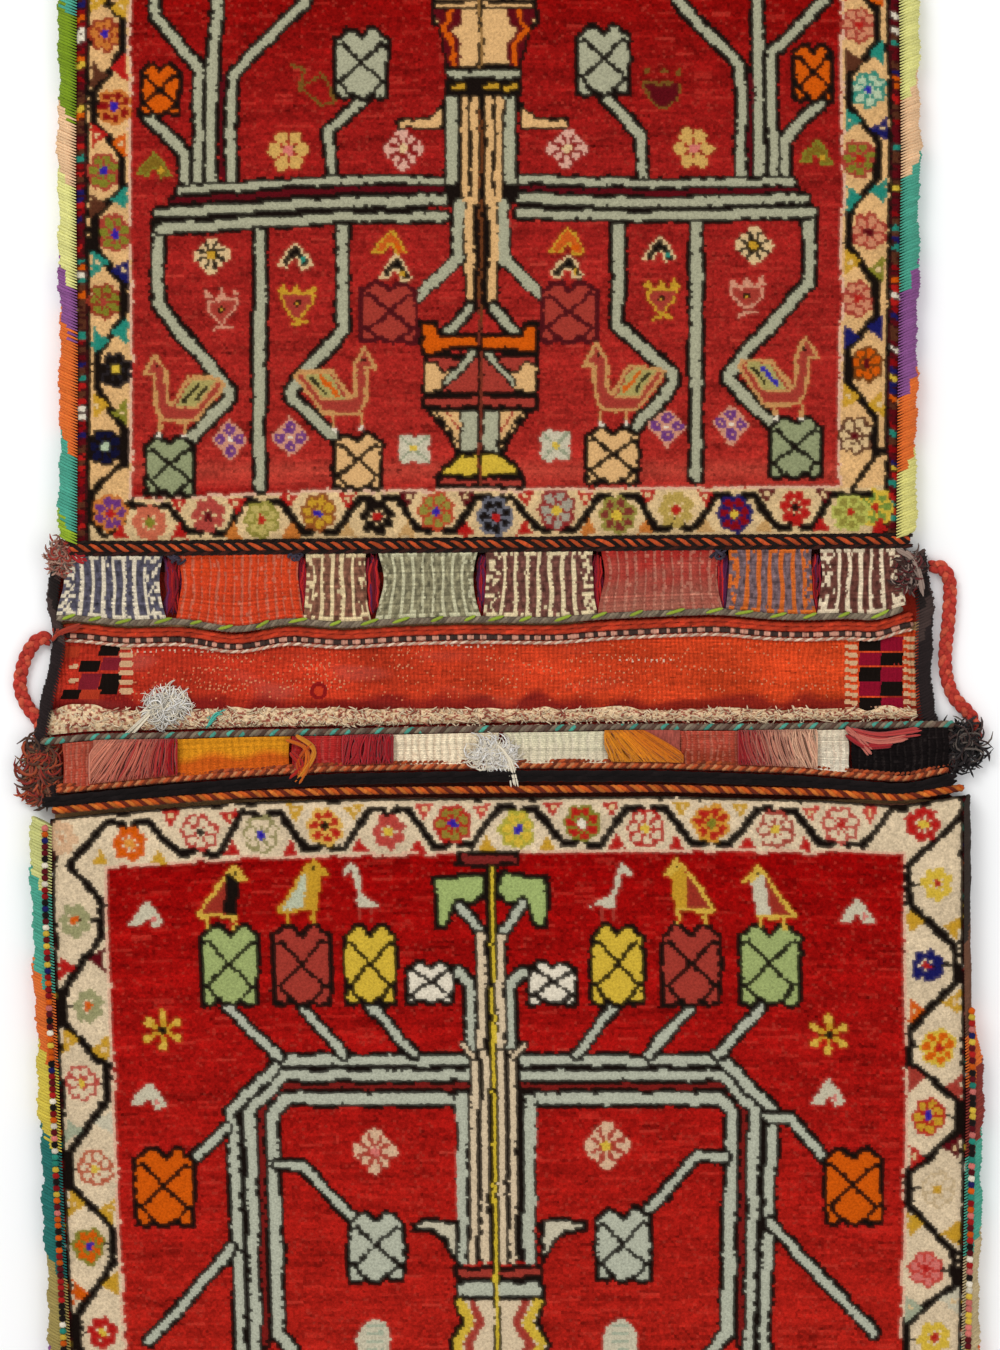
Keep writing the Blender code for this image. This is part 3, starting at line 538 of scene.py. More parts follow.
def side_border(chart, side, band, turns, stations, blossoms, triangles):
    """A meander that weaves between flowers down one side.

    side is the face's edge. band and turns are the offsets from it of the border's two edges and of the
    meander's two turning lines. stations are (v, whether it passes on the right) pairs.
    """
    route = []
    for v, on_right in stations:
        u = side(v) + turns[on_right]
        route += [(u, v - 17), (u, v + 17)]
    for index, (v, on_right) in enumerate(stations):
        middle = (side(v) + turns[0] + (side(v) + turns[1])) / 2 + (-5 if on_right else 5)
        edge = side(v) + turns[on_right]
        petal, core, ring = blossoms[index % len(blossoms)]
        chart.line([(middle, v), (edge, v)], 3.0, BLACK)
        chart.blossom(middle, v, petal, core, ring, size=18.0, turn=math.pi / 6)
    chart.line(route, 8.6, BLACK)
    for index, ((v0, on_right), (v1, _)) in enumerate(zip(stations[:-1], stations[1:])):
        v = (v0 + v1) / 2
        outer, inner = triangles[index % len(triangles)]
        lean = 4 if on_right else -4
        for edge, colour, way in ((side(v) + band[0] + 3, outer, 1), (side(v) + band[1] - 3, inner, -1)):
            v_tip = v + lean * way
            chart.polygon([(edge, v_tip - 13), (edge + way * 17, v_tip), (edge, v_tip + 13)], colour)
            if index % 2:
                chart.disc(edge + way * 5, v_tip, 2.6, CREAM)


def mouth_border(chart, peaks, troughs, outer, inner, blossoms, accents):
    """The meander along a mouth: notched teeth with a flower in each. Peaks stand against the edge outer."""
    teeth = sorted([(u, True) for u in peaks] + [(u, False) for u in troughs])
    route = []
    for u, peak in teeth:
        v = outer(u) if peak else inner(u)
        notch = 9 if v < (outer(u) + inner(u)) / 2 else -9
        route += [(u - 19, v), (u - 7, v), (u, v + notch), (u + 7, v), (u + 19, v)]
    chart.line(route, 8.0, BLACK)
    for index, (u, peak) in enumerate(teeth):
        petal, core, ring = blossoms[index % len(blossoms)]
        away = 1 if outer(u) < inner(u) else -1
        towards = away if peak else -away
        middle = (outer(u) + inner(u)) / 2
        chart.blossom(u, middle + 3 * towards, petal, core, ring, turn=math.pi / 6)
        colour = accents[index % len(accents)]
        for side in (-1, 1):
            v = (inner(u) if peak else outer(u)) + towards * -1
            chart.triangle(u + side * 29, v, 9, colour, up=towards > 0, core=CREAM if index % 2 else None)


def abrash(chart, shades, seed):
    """The red ground: wool that changes from batch to batch, in rows."""
    stops = np.array([stop for stop, _ in shades])
    colours = np.array([tone(*shade) for _, shade in shades])
    local = np.random.default_rng(seed)
    base = np.stack([np.interp(chart.v, stops, colours[:, k]) for k in range(3)], axis=-1)
    rows, columns = chart.u.shape
    walk = np.cumsum(local.normal(0, 1, rows))
    streak = (walk - np.convolve(walk, np.ones(21) / 21, "same"))[:, None]
    patchy = ripple(chart.u / 6, chart.v, 22, seed) * 0.07 + ripple(chart.u, chart.v, 45, seed + 1) * 0.05
    dashes = np.repeat(local.normal(0, 0.12, (rows, columns // 7 + 1)), 7, axis=1)[:, :columns]
    knots = local.normal(0, 0.17, (rows, columns))
    chart.colour[:] = base * (1 + 0.04 * streak + patchy + dashes + knots)[..., None]
    pale = (local.random((rows, columns)) < 0.05)[..., None] * 0.36
    pale = np.maximum(pale, 0.5 * np.clip(dashes - 0.14, 0, 1)[..., None] * 4)
    chart.colour[:] = chart.colour * (1 - pale) + tone(200, 72, 56) * pale


def bird(chart, u, v, way, mark):
    """A bird with a long tail: its head is at (u, v), its body lies to the side given by way."""
    at = facing(u, v, way)
    gold, olive = tone(206, 150, 90), tone(178, 164, 96)
    body = [at(0, -8), at(-11, 11), at(-1, 11), at(1, 47), at(8, 57), at(42, 57), at(69, 20), at(64, 15),
            at(34, 15), at(16, 42), at(12, 38), at(11, 8)]
    chart.shape(body, BRICK, 3.6, gold)
    chart.polygon([at(20, 43), at(37, 17), at(62, 17), at(44, 43)], olive)
    chart.line([at(20, 43), at(44, 43), at(62, 17)], 2.4, gold)
    chart.line([at(29, 37), at(45, 21)], 4.2, mark)
    chart.line([at(41, 37), at(53, 22)], 3.0, BLACK)
    chart.disc(*at(2, 3), 2.0, BLACK)
    for x in (5, 31):
        chart.line([at(x, 58), at(x, 70)], 3.2, gold)
        chart.disc(*at(x, 72), 2.4, WHITE)


UPPER_AXIS = 481.0
LOWER_FORK = 502.5
GUARD_SHADES = [RED, WHITE, DEEP_RED, NAVY, TEAL, YELLOW, ORANGE, MAROON, PINK, BLACK, ORANGE, YELLOW,
                MAROON, BLACK]


def perched(chart, u, v, way, neck, body, edge):
    """A small bird on a vase. Its head is at (u, v) and its beak points to the side given by way."""
    at = facing(u, v, way)
    chart.shape([at(-2, 2), at(-34, 48), at(4, 48)], body, 3.4, edge)
    chart.polygon([at(-4, 4), at(9, 8), at(8, 20), at(4, 46), at(-9, 46), at(-6, 20)], neck)
    chart.polygon([at(-3, 4), at(3, -6), at(10, 4), at(19, 14), at(8, 13)], edge)
    chart.disc(*at(3, 5), 2.2, BLACK)
    for x in (-24, 1):
        chart.line([at(x, 48), at(x, 60)], 3.4, edge)


def goblet(chart, u, v, edge):
    """A small cup with three beads over it and a forked foot."""
    for x in (-14, 0, 14):
        chart.triangle(u + x, v - 16, 5, edge)
    rim = [(u - 16, v - 10), (u + 16, v - 10), (u + 14, v), (u + 2, v + 14), (u - 2, v + 14), (u - 14, v)]
    chart.shape(rim, BRICK, 2.6, edge)
    chart.disc(u, v - 1, 3.4, BLACK)
    chart.disc(u, v - 1, 1.6, GOLD)
    chart.line([(u - 8, v + 20), (u, v + 17), (u + 10, v + 18)], 3.0, edge)


def hooked(chart, u, v, colour, edge, spot):
    """A small arched hook with a bright spot under it."""
    bow = [(u - 17, v + 10), (u - 8, v - 4), (u, v - 12), (u + 8, v - 4), (u + 16, v + 10), (u + 6, v + 12),
            (u + 2, v + 2), (u - 4, v + 4), (u - 7, v + 10)]
    chart.shape(bow, colour, 2.2, edge)
    chart.disc(u + 7, v + 5, 3.0, spot)


UPPER_FIELD = [(-360, (142, 14, 12)), (0, (142, 10, 8)), (200, (160, 32, 28)), (430, (168, 40, 33)),
               (456, (176, 44, 36)), (470, (184, 64, 50)), (484, (178, 50, 40)), (492, (150, 22, 20))]
LOWER_FIELD = [(850, (156, 6, 6)), (1060, (170, 20, 16)), (1350, (180, 34, 24)), (1714, (172, 28, 22))]
PALE_PINK = tone(216, 150, 120)
RIM_TINT = tone(232, 186, 156)
LILAC = tone(110, 54, 124)
STONE = tone(210, 200, 172)


def frame_bands(chart, edges, field, guard, ground_side, ground_mouth, wools=GUARD_SHADES):
    """The border's ground, a light line round the field, and the guard stripe, guard wide.

    field is the lines of its left, right and mouth edges, and whether the mouth is below it.
    """
    end_band, rim_half = 76, 1.3
    left, right = edges
    field_left, field_right, field_mouth, mouth_below = field
    u, v = chart.u, chart.v
    low_v, high_v = v.min(), v.max()
    outside = (u < field_left(v)) | (u > field_right(v))
    depth = field_mouth(u) - v if mouth_below else v - field_mouth(u)
    beyond = depth < 0
    far = v < low_v + end_band if mouth_below else v > high_v - end_band
    band = outside | beyond | far
    chart.colour[band] = ground_side
    chart.colour[beyond] = ground_mouth
    knots = rng.normal(1.0, 0.09, u.shape)[..., None]
    patch = (1 + 0.06 * ripple(u, v, 60, 91))[..., None]
    chart.colour[band] = (chart.colour * knots * patch)[band]
    beside = np.minimum(np.abs(u - field_left(v)), np.abs(u - field_right(v)))
    rim = np.minimum(beside, np.abs(depth)) < rim_half
    in_sides = (u > field_left(v) - 2) & (u < field_right(v) + 2) & (depth > -2) & ~far
    chart.colour[rim & in_sides] = RIM_TINT
    steps = np.arange(low_v, high_v, 8.0)
    for way, edge in ((1, left), (-1, right)):
        chart.line([(edge(s) + way * guard / 2, s) for s in steps], guard + 2.0, tone(60, 20, 20))
        chart.beads(edge, way * 1.5, way * (guard - 2.0), low_v, high_v, 6.0, wools)
        chart.line([(edge(s) + way * (guard + 1.5), s) for s in steps], 3.6, BLACK)


def paint_upper(chart):
    """The cartoon of the upper face: its tree hangs from the far end towards the mouth."""
    abrash(chart, UPPER_FIELD, 11)
    left, right = line_of(UPPER_LEFT), line_of(UPPER_RIGHT)
    field_end = [(60, 505), (132, 500), (300, 492), (480, 491), (700, 489), (900, 486)]
    field = (line_of(UPPER_LEFT, 56), line_of(UPPER_RIGHT, -60), line_of(field_end), True)
    wools = [MAROON, BROWN, DEEP_RED, MAROON, YELLOW, BROWN, RED, MAROON, NAVY, ORANGE, BROWN, WHITE,
             DEEP_RED, TEAL]
    frame_bands(chart, (left, right), field, 12, PEACH, CREAM, wools)

    # Stems and bars, the left half and then the right half
    outer_stems = [
        [(155, -60), (155, 18), (200, 69), (198, 185)],
        [(306, -60), (306, 2), (232, 76), (231, 181)],
        [(147, 115), (185, 155), (186, 185)],
        [(364, 99), (329, 131), (331, 175)],
    ]
    forks = [
        [(160, 222), (158, 304), (230, 392), (230, 398), (189, 442)],
        [(260, 225), (260, 487)],
        [(343, 218), (343, 330), (291, 390), (291, 398), (340, 442)],
    ]
    right_stems = [
        [(824, -60), (824, 2), (771, 54), (773, 180)],
        [(678, -60), (678, 2), (740, 66), (742, 180)],
        [(822, 100), (784, 140), (785, 180)],
        [(604, 96), (640, 136), (643, 180)],
    ]
    right_forks = [
        [(809, 214), (809, 282), (727, 374), (727, 380), (778, 430)],
        [(696, 220), (696, 476)],
        [(618, 216), (618, 326), (673, 374), (673, 384), (632, 434)],
    ]
    chart.stems(outer_stems + right_stems, 7.8, CELADON)
    middle_stems = [[(217, -360), (217, 20), (212, 76), (211, 184)],
                    [(760, -360), (758, 20), (758, 76), (759, 180)]]
    chart.stems(middle_stems, 8.4, CELADON)
    chart.uprights((222, 750), 75, 183, 3.4, MAROON)
    chart.stems(forks + right_forks, 9.2, CELADON)
    high_bars = [[(179, 191), (340, 181), (450, 181)], [(792, 181), (650, 184), (520, 180)]]
    chart.stems(high_bars, 6.0, CELADON, 3.6)
    middle_bars = [[(172, 202), (340, 191), (450, 190)], [(796, 190), (650, 194), (516, 190)]]
    chart.stems(middle_bars, 5.0, MAROON, 3.6)
    low_bars = [[(159, 214), (340, 203), (456, 200)], [(160, 229), (340, 218), (444, 217)],
                [(804, 199), (650, 204), (514, 198)], [(812, 213), (650, 217), (520, 214)]]
    chart.stems(low_bars, 7.6, CELADON, 4.0)

    # Trunk
    trunk = [(444, 90), (519, 90), (519, 200), (508, 210), (508, 262), (450, 262), (450, 210), (444, 200)]
    chart.polygon(trunk, BLACK)
    legs = [[(452, 96), (452, 180)], [(459, 205), (459, 258), (412, 304)]]
    chart.stems(mirrored(legs, UPPER_AXIS), 10.0, CELADON, 2.4)
    chart.polygon(block(463, 262, 500, 310), BLACK)
    chart.uprights((465, 475, 489, 499), 94, 200, 6.0, PEACH)
    chart.uprights((470, 493), 200, 312, 7.2, PEACH)
    chart.line([(481, 92), (481, 300)], 5.0, BLACK)
    chart.line([(481, 110), (481, 486)], 2.6, tone(110, 60, 30))
    chart.stems([[(469, 308), (447, 333)], [(494, 308), (515, 333)]], 7.5, CELADON)

    # Central vase
    bowl = [(422, 323), (436, 323), (440, 336), (520, 336), (524, 323), (537, 323),
            (537, 354), (520, 354), (512, 350), (448, 350), (440, 354), (422, 354)]
    chart.shape(block(424, 356, 536, 394), BRICK)
    chevron = [(424, 364), (436, 362), (444, 374), (470, 356), (476, 356), (442, 392), (424, 392)]
    for leaf, stalk in zip(mirrored([chevron], 480), mirrored([[(472, 354), (446, 384)]], 480)):
        chart.shape(leaf, PEACH, 2.6)
        chart.stems([stalk], 4.5, CELADON, 2.0)
    chart.shape(bowl, ORANGE)
    chart.shape(block(424, 396, 536, 408), BRICK)
    cone = [(428, 410), (532, 410), (508, 440), (502, 454), (458, 454), (452, 440)]
    chart.shape(cone, PEACH)
    chart.polygon([(460, 412), (500, 412), (498, 452), (462, 452)], CELADON)
    rays = [(44, 20, 444, 2.6, BLACK), (34, 18, 434, 2.2, BRICK), (18, 18, 452, 2.6, BLACK)]
    for side in (-1, 1):
        for top, foot, v, width, colour in rays:
            chart.line([(480 + side * top, 412), (480 + side * foot, v)], width, colour)
    chart.shape([(462, 455), (498, 455), (514, 466), (522, 476), (438, 476), (446, 466)], YELLOW)
    chart.shape(block(436, 477, 524, 487), BRICK)
    chart.line([(480, 330), (480, 486)], 6.0, BLACK)
    chart.line([(480, 300), (480, 486)], 2.6, tone(120, 50, 34))

    # Amphora at the head of the trunk, with its reflection above it, and wings at its foot
    for way in (1, -1):
        def turned(points, side=1, middle=0, way=way):
            return [(middle + side * u, 2 + way * (v - 2)) for u, v in points]

        body = [(434, 2), (536, 2), (536, 24), (528, 30), (524, 50), (520, 68), (448, 68), (446, 50),
                (442, 30), (434, 24)]
        chart.shape(turned(body), PEACH)
        band = [(50, 10), (22, 10), (24, 24), (34, 32), (24, 44), (24, 66), (34, 66), (40, 48), (44, 30)]
        stripe = [(34, 11), (36, 22), (42, 32), (32, 44), (30, 64)]
        for side in (-1, 1):
            chart.polygon(turned(band, side, 485), MAROON)
            chart.line(turned(stripe, side, 485), 4.6, ORANGE)
        chart.line(turned([(434, 9), (536, 9)]), 3.5, BLACK)
    chart.line([(480, -66), (480, 70)], 5.6, BLACK)
    chart.line([(480, -60), (480, 70)], 2.2, tone(150, 110, 60))
    chart.shape(block(447, 71, 520, 80), CELADON, 3.0)
    chart.shape(block(447, 83, 520, 94), BLACK)
    for u in (459, 492, 510):
        chart.line([(u - 5, 88), (u + 5, 87)], 4.0, GOLD)
    wing = [(442, 101), (437, 112), (428, 119), (398, 120), (398, 128), (442, 130)]
    for points in mirrored([wing], 482):
        chart.shape(points, PEACH, 3.0)

    # Vases
    plum = tone(80, 20, 24)
    for row in ((145, 437, 196, 495, SAGE), (768, 418, 822, 478, SAGE), (332, 434, 383, 489, PEACH),
                (585, 428, 640, 484, PEACH), (360, 283, 419, 343, BRICK, plum),
                (540, 283, 598, 343, BRICK, plum), (140, 66, 181, 116, ORANGE),
                (792, 46, 834, 101, ORANGE), (334, 30, 389, 99, CELADON),
                (576, 26, 631, 95, CELADON), (284, -118, 330, -58, ORANGE), (626, -118, 672, -58, ORANGE),
                (134, -118, 178, -58, SAGE), (778, -118, 822, -58, SAGE)):
        chart.vase(*row)

    # Birds on the lower vases
    for row in ((155, 364, 1, BLACK), (366, 357, -1, ORANGE), (595, 353, 1, ORANGE), (806, 347, -1, BLUE)):
        bird(chart, *row)

    # Small motifs
    for u, v in ((212, 256), (754, 246)):
        chart.rosette(u, v, CREAM, BLACK, GOLD, 19)
    for u, v in ((403, 150), (567, 149)):
        chart.rosette(u, v, tone(226, 172, 150), DEEP_RED, CREAM, 20)
    for u, v in ((289, 151), (693, 149)):
        chart.blossom(u, v, tone(216, 170, 92), PINK, size=22, count=6)
    for u, v in ((230, 440), (290, 438), (667, 427), (731, 425)):
        chart.polygon([(u, v - 20), (u + 19, v), (u, v + 20), (u - 19, v)], PALE_PINK)
        for petal in spokes(u, v, 9.5, 4):
            chart.disc(*petal, 5.4, LILAC)
            chart.disc(*petal, 1.6, PALE_PINK)
        chart.disc(u, v, 2.2, WHITE)
    for u, v in ((414, 449), (556, 446)):
        for petal, tip in zip(spokes(u, v, 9, 4, math.pi / 4), spokes(u, v, 18, 4, math.pi / 4)):
            chart.disc(*petal, 8.6, STONE)
            chart.line([(u, v), tip], 2.6, tone(150, 156, 126))
        chart.disc(u, v, 3.4, YELLOW)
    for u, v, edge in ((222, 310, PALE_PINK), (298, 305, GOLD), (661, 300, GOLD), (747, 297, PALE_PINK)):
        goblet(chart, u, v, edge)
    amber = tone(206, 90, 30)
    for row in ((296, 257, BLACK, CREAM, TEAL), (660, 250, BLACK, CREAM, TEAL),
                (396, 268, BLACK, CREAM, GOLD), (568, 267, BLACK, CREAM, GOLD),
                (391, 243, amber, GOLD, ORANGE), (567, 242, amber, GOLD, ORANGE)):
        hooked(chart, *row)
    faint = tone(120, 84, 32)
    wisp = [(292, 66), (304, 70), (300, 88), (322, 106), (336, 102), (328, 84), (322, 74)]
    chart.line(wisp, 3.0, faint)
    chart.line([(298, 92), (318, 78)], 3.0, faint)
    for u in (648, 663, 678):
        chart.disc(u, 72, 3.0, faint)
    chart.shape([(644, 84), (682, 84), (676, 100), (663, 110), (650, 100)], MAROON, 2.4, faint)
    for u, v in ((155, 166), (816, 153)):
        hooked(chart, u, v, tone(130, 100, 30), OLIVE, GOLD)

    # Borders
    flame = tone(206, 120, 50)
    side_shades = [
        (flame, BLUE, tone(150, 50, 30)), (DEEP_RED, BLUE, flame), (OLIVE, BLUE, BRICK),
        (OLIVE, BRICK, tone(150, 50, 34)),
        (BLACK, YELLOW, tone(40, 34, 36)), (tone(20, 20, 50), MINT, BLACK), (NAVY, MINT, RED),
        (LILAC, RED, flame),
    ]
    pairs = [(TEAL, TEAL), (GOLD, OLIVE), (NAVY, NAVY), (GOLD, GOLD), (BROWN, RED), (RED, ORANGE),
             (BROWN, TEAL), (TEAL, NAVY)]
    beyond = [41 - 68 * k for k in range(4, 0, -1)]
    stations = alternate(beyond + [35, 108, 172, 234, 302, 371, 447], True)
    side_border(chart, left, (14, 56), (21, 49), stations,
                side_shades[4:] + side_shades[:3] + side_shades[2:5] + side_shades[5:], pairs)
    chart.line([(124, 460), (92, 495), (92, 520), (103, 537), (121, 530), (127, 507), (134, 502)], 7.0, BLACK)
    chart.blossom(111, 513, LILAC, RED, flame)
    beyond = [28 - 68 * k for k in range(4, 0, -1)]
    stations = alternate(beyond + [26, 90, 160, 232, 300, 365, 436], True)
    blush = tone(214, 140, 104)
    shades = [(blush, RED, BRICK), (MINT, BLUE, TEAL), (OLIVE, RED, BRICK), (blush, MAROON, BRICK),
              (blush, RED, BRICK), (ORANGE, MAROON, tone(110, 60, 20)), (CREAM, MAROON, BROWN)]
    side_border(chart, right, (-60, -14), (-53, -25), stations, shades[3:] + shades, pairs[2:] + pairs[:2])
    chart.line([(880, 450), (852, 488), (852, 500)], 6.0, BLACK)
    chart.blossom(874, 508, GREEN, RED, YELLOW)
    salmon, moss = tone(206, 106, 76), tone(150, 140, 60)
    mouth_shades = [
        (salmon, OLIVE, None), (tone(180, 70, 60), MAROON, None), (tone(196, 176, 100), RED, moss),
        (GOLD, BLUE, tone(150, 80, 36)), (BLACK, RED, None), (moss, BLUE, tone(190, 66, 40)),
        (BLACK, RED, tone(110, 110, 120)),
        (tone(170, 160, 140), YELLOW, tone(150, 40, 40)), (tone(130, 50, 44), YELLOW, moss),
        (tone(190, 160, 80), RED, None),
        (DEEP_RED, YELLOW, NAVY), (RED, BLACK, None), (moss, RED, tone(190, 190, 90)),
    ]
    accents = [RED, RED, flame, RED, tone(206, 160, 100), MAROON]
    mouth_border(chart, [150, 262, 378, 495, 617, 735, 850], [208, 318, 437, 556, 676, 795],
                 line_of(field_end, 7), line_of(UPPER_MOUTH, -7), mouth_shades, accents)
    far_edge = UPPER_TOP_V + 14
    mouth_border(chart, [120, 236, 352, 468, 584, 700, 816], [178, 294, 410, 526, 642, 758, 862],
                 lambda u: far_edge, lambda u: far_edge + 42, mouth_shades, accents)


def paint_lower(chart):
    """The cartoon of the lower face, with the same kinds of motif."""
    abrash(chart, LOWER_FIELD, 23)
    left, right = line_of(LOWER_LEFT), line_of(LOWER_RIGHT)
    field_end = [(60, 870), (110, 867), (250, 857), (480, 852), (700, 850), (900, 852), (980, 852)]
    field = (line_of(LOWER_LEFT, 56), line_of(LOWER_RIGHT, -62), line_of(field_end), False)
    frame_bands(chart, (left, right), field, 3, IVORY, IVORY)
    rim = line_of(LOWER_MOUTH, 1)
    chart.line([(u, rim(u)) for u in range(40, 990, 20)], 4.0, BLACK)

    # Crest of the trunk
    sky = tone(190, 192, 170)
    chart.line([(491, 860), (491, 935)], 12.0, BLACK)
    leaf = [(434, 876), (452, 876), (482, 873), (486, 892), (474, 904), (452, 907), (450, 920), (444, 928),
            (436, 926)]
    for points in mirrored([leaf], 491):
        chart.shape(points, tone(168, 186, 112))
    chart.stems([[(460, 905), (480, 932)], [(522, 905), (502, 932)]], 6.5, sky)
    chart.shape(block(457, 853, 518, 865), tone(130, 40, 36))

    # Bars, turns and branches
    fork = LOWER_FORK
    turns = [
        [(484, 1060), (282, 1060), (230, 1112), (234, 1127), (241, 1344), (241, 1500)],
        [(484, 1075), (284, 1075), (250, 1112), (257, 1344), (257, 1500)],
    ]
    chart.stems(mirrored(turns, fork), 8.4, sky)
    chart.stems(mirrored([[(484, 1086), (286, 1086), (261, 1112), (266, 1344)]], fork), 4.0,
                tone(130, 30, 26), 3.2)
    elbows = [(484, 1098), (286, 1098), (273, 1112), (278, 1333), (294, 1352), (294, 1440)]
    chart.stems(mirrored([elbows], fork), 10.0, sky)
    branches = [
        [(226, 1127), (189, 1164)], [(766, 1117), (790, 1117), (830, 1166)],
        [(278, 1164), (301, 1164), (354, 1219)], [(724, 1157), (699, 1154), (645, 1212)],
        [(232, 1248), (150, 1341)], [(770, 1223), (874, 1332)],
        [(228, 1008), (280, 1056)], [(760, 1008), (718, 1054)],
        [(304, 1008), (344, 1054)], [(690, 1008), (648, 1054)],
        [(370, 1006), (414, 1054)], [(614, 1006), (576, 1054)],
        [(454, 976), (461, 971), (471, 987), (471, 1048)], [(531, 973), (521, 970), (511, 986), (511, 1048)],
    ]
    chart.stems(branches, 7.0, sky)
    chart.polygon(block(474, 930, 508, 1050), BLACK)
    chart.uprights((481, 501), 936, 1050, 7.0, IVORY)
    chart.polygon([(468, 1048), (520, 1048), (521, 1094), (468, 1094)], BLACK)
    chart.polygon(block(456, 1092, 537, 1262), BLACK)
    chart.uprights((462, 530), 1098, 1260, 9.5, sky)
    chart.uprights((474, 485, 502, 513), 1052, 1260, 5.6, IVORY)
    for horn in mirrored([[(474, 1056), (464, 1044)]], 494):
        chart.stems([horn], 3.8, IVORY, 2.8)

    # Amphora on the lower trunk, and the trunk beyond it
    wing = [(457, 1220), (427, 1220), (413, 1222), (413, 1229), (432, 1231), (444, 1240), (457, 1264)]
    for points in mirrored([wing], 499):
        chart.shape(points, STONE)
    chart.shape(block(456, 1267, 542, 1278), BRICK)
    chart.shape(block(456, 1280, 542, 1297), sky)
    jar = [(454, 1298), (544, 1298), (537, 1321), (549, 1344), (537, 1368), (544, 1392), (454, 1392),
           (461, 1368),
           (450, 1344), (462, 1321)]
    chart.shape(jar, IVORY)
    for side in (-1, 1):
        for reach, colour in ((38, YELLOW), (27, BRICK)):
            wave = [(reach, 1303), (reach - 9, 1321), (reach + 4, 1344), (reach - 9, 1368), (reach, 1389)]
            chart.line([(499 + side * u, v) for u, v in wave], 8.4, colour)
    chart.line([(499, 1392), (495, 1240), (492, 868)], 6.4, BLACK)
    chart.line([(499, 1392), (495, 1240), (492, 868)], 3.2, tone(226, 194, 56))
    chart.polygon(block(466, 1394, 532, 1600), BLACK)
    chart.uprights((473, 525), 1398, 1598, 9.0, sky)
    chart.uprights((486, 512), 1398, 1598, 6.0, IVORY)

    # Vases
    leaf_green = tone(166, 180, 112)
    for low, high, colour in ((200, 260, leaf_green), (272, 332, BRICK), (343, 397, YELLOW),
                              (590, 645, YELLOW), (660, 722, BRICK), (738, 801, leaf_green)):
        chart.vase(low, 925, high, 1005, colour)
    for low, high in ((406, 455), (527, 578)):
        chart.vase(low, 962, high, 1004, WHITE)
    for row in ((134, 1148, 196, 1226, ORANGE), (823, 1148, 883, 1224, ORANGE), (347, 1212, 406, 1281, sky),
                (594, 1208, 652, 1281, sky), (126, 1424, 174, 1482, SAGE), (822, 1424, 870, 1482, SAGE),
                (268, 1444, 318, 1504, YELLOW), (676, 1444, 726, 1504, YELLOW)):
        chart.vase(*row)

    # Birds on the vases
    yellow, russet = tone(222, 180, 70), tone(160, 50, 36)
    perched(chart, 232, 868, 1, BLACK, russet, yellow)
    perched(chart, 312, 862, 1, GOLD, tone(196, 200, 170), GOLD)
    for u, way in ((352, 1), (622, -1)):
        neck = [(u - way * 7, 872), (u, 865), (u + way * 5, 878), (u + way * 10, 904)]
        chart.line(neck, 5.6, STONE)
        chart.polygon([(u + way * 8, 892), (u + way * 31, 907), (u + way * 6, 907)], STONE)
        chart.uprights((u + way * 9, u + way * 20), 908, 920, 2.8, BRICK)
    perched(chart, 680, 862, -1, GOLD, russet, yellow)
    perched(chart, 760, 868, -1, STONE, russet, yellow)

    # Small motifs
    for u, v, core in ((375, 1150, PINK), (607, 1145, YELLOW)):
        chart.rosette(u, v, tone(226, 186, 150), tone(176, 60, 46), core, 23)
    for u, v in ((163, 1030), (828, 1035)):
        for tip, bead in zip(spokes(u, v, 19, 6, math.pi / 6), spokes(u, v, 16, 6, math.pi / 6)):
            chart.line([(u, v), tip], 4.4, GOLD)
            chart.disc(*bead, 4.0, yellow)
        chart.disc(u, v, 4.0, BLACK)
    for u, v, colour in ((147, 914, STONE), (857, 911, STONE), (150, 1095, STONE), (828, 1093, STONE)):
        hooked(chart, u, v, colour, colour, PINK)
    for u in (375, 620):
        chart.disc(u, 1342, 17, STONE, flat=1.4)
        for k in range(4):
            chart.line([(u - 8, 1324 + 8 * k), (u + 8, 1324 + 8 * k)], 2.6, TEAL * 0.4 + STONE * 0.6)

    # Borders
    rose = tone(190, 70, 60)
    side_shades = [
        (tone(160, 156, 110), ORANGE, None), (tone(160, 156, 110), ORANGE, None), (IVORY, YELLOW, rose),
        (IVORY, YELLOW, tone(190, 90, 60)),
        (ORANGE, BLUE, OLIVE), (RED, YELLOW, None),
    ]
    pairs = [(RED, MAROON), (GOLD, GOLD), (TEAL * 0.5 + IVORY * 0.5, STONE), (GOLD, GOLD), (ORANGE, GOLD),
             (BRICK, BRICK)]
    beyond = [1331 + 78 * k for k in range(1, 5)]
    stations = alternate([920, 1006, 1083, 1168, 1245, 1331] + beyond, True)
    side_border(chart, left, (4, 56), (10, 50), stations, side_shades, pairs)
    chart.line([(104, 824), (70, 866), (100, 900)], 8.6, BLACK)
    chart.blossom(62, 838, tone(222, 180, 140), tone(206, 150, 110), None)
    beyond = [1338 + 76 * k for k in range(1, 5)]
    stations = alternate([884, 965, 1047, 1116, 1188, 1268, 1338] + beyond, False)
    shades = [(YELLOW, RED, None), (NAVY, RED, None), (ORANGE, RED, YELLOW), (GOLD, BLUE, RED),
              (IVORY, GOLD, tone(206, 180, 140)),
              (PINK, RED, tone(200, 60, 50))]
    side_border(chart, right, (-62, -4), (-58, -11), stations, shades, pairs[3:] + pairs[:3])
    chart.line([(861, 846), (893, 808), (906, 808)], 7.4, BLACK)
    chart.line([(957, 819), (907, 867)], 7.4, BLACK)
    chart.blossom(922, 824, RED, YELLOW, None)
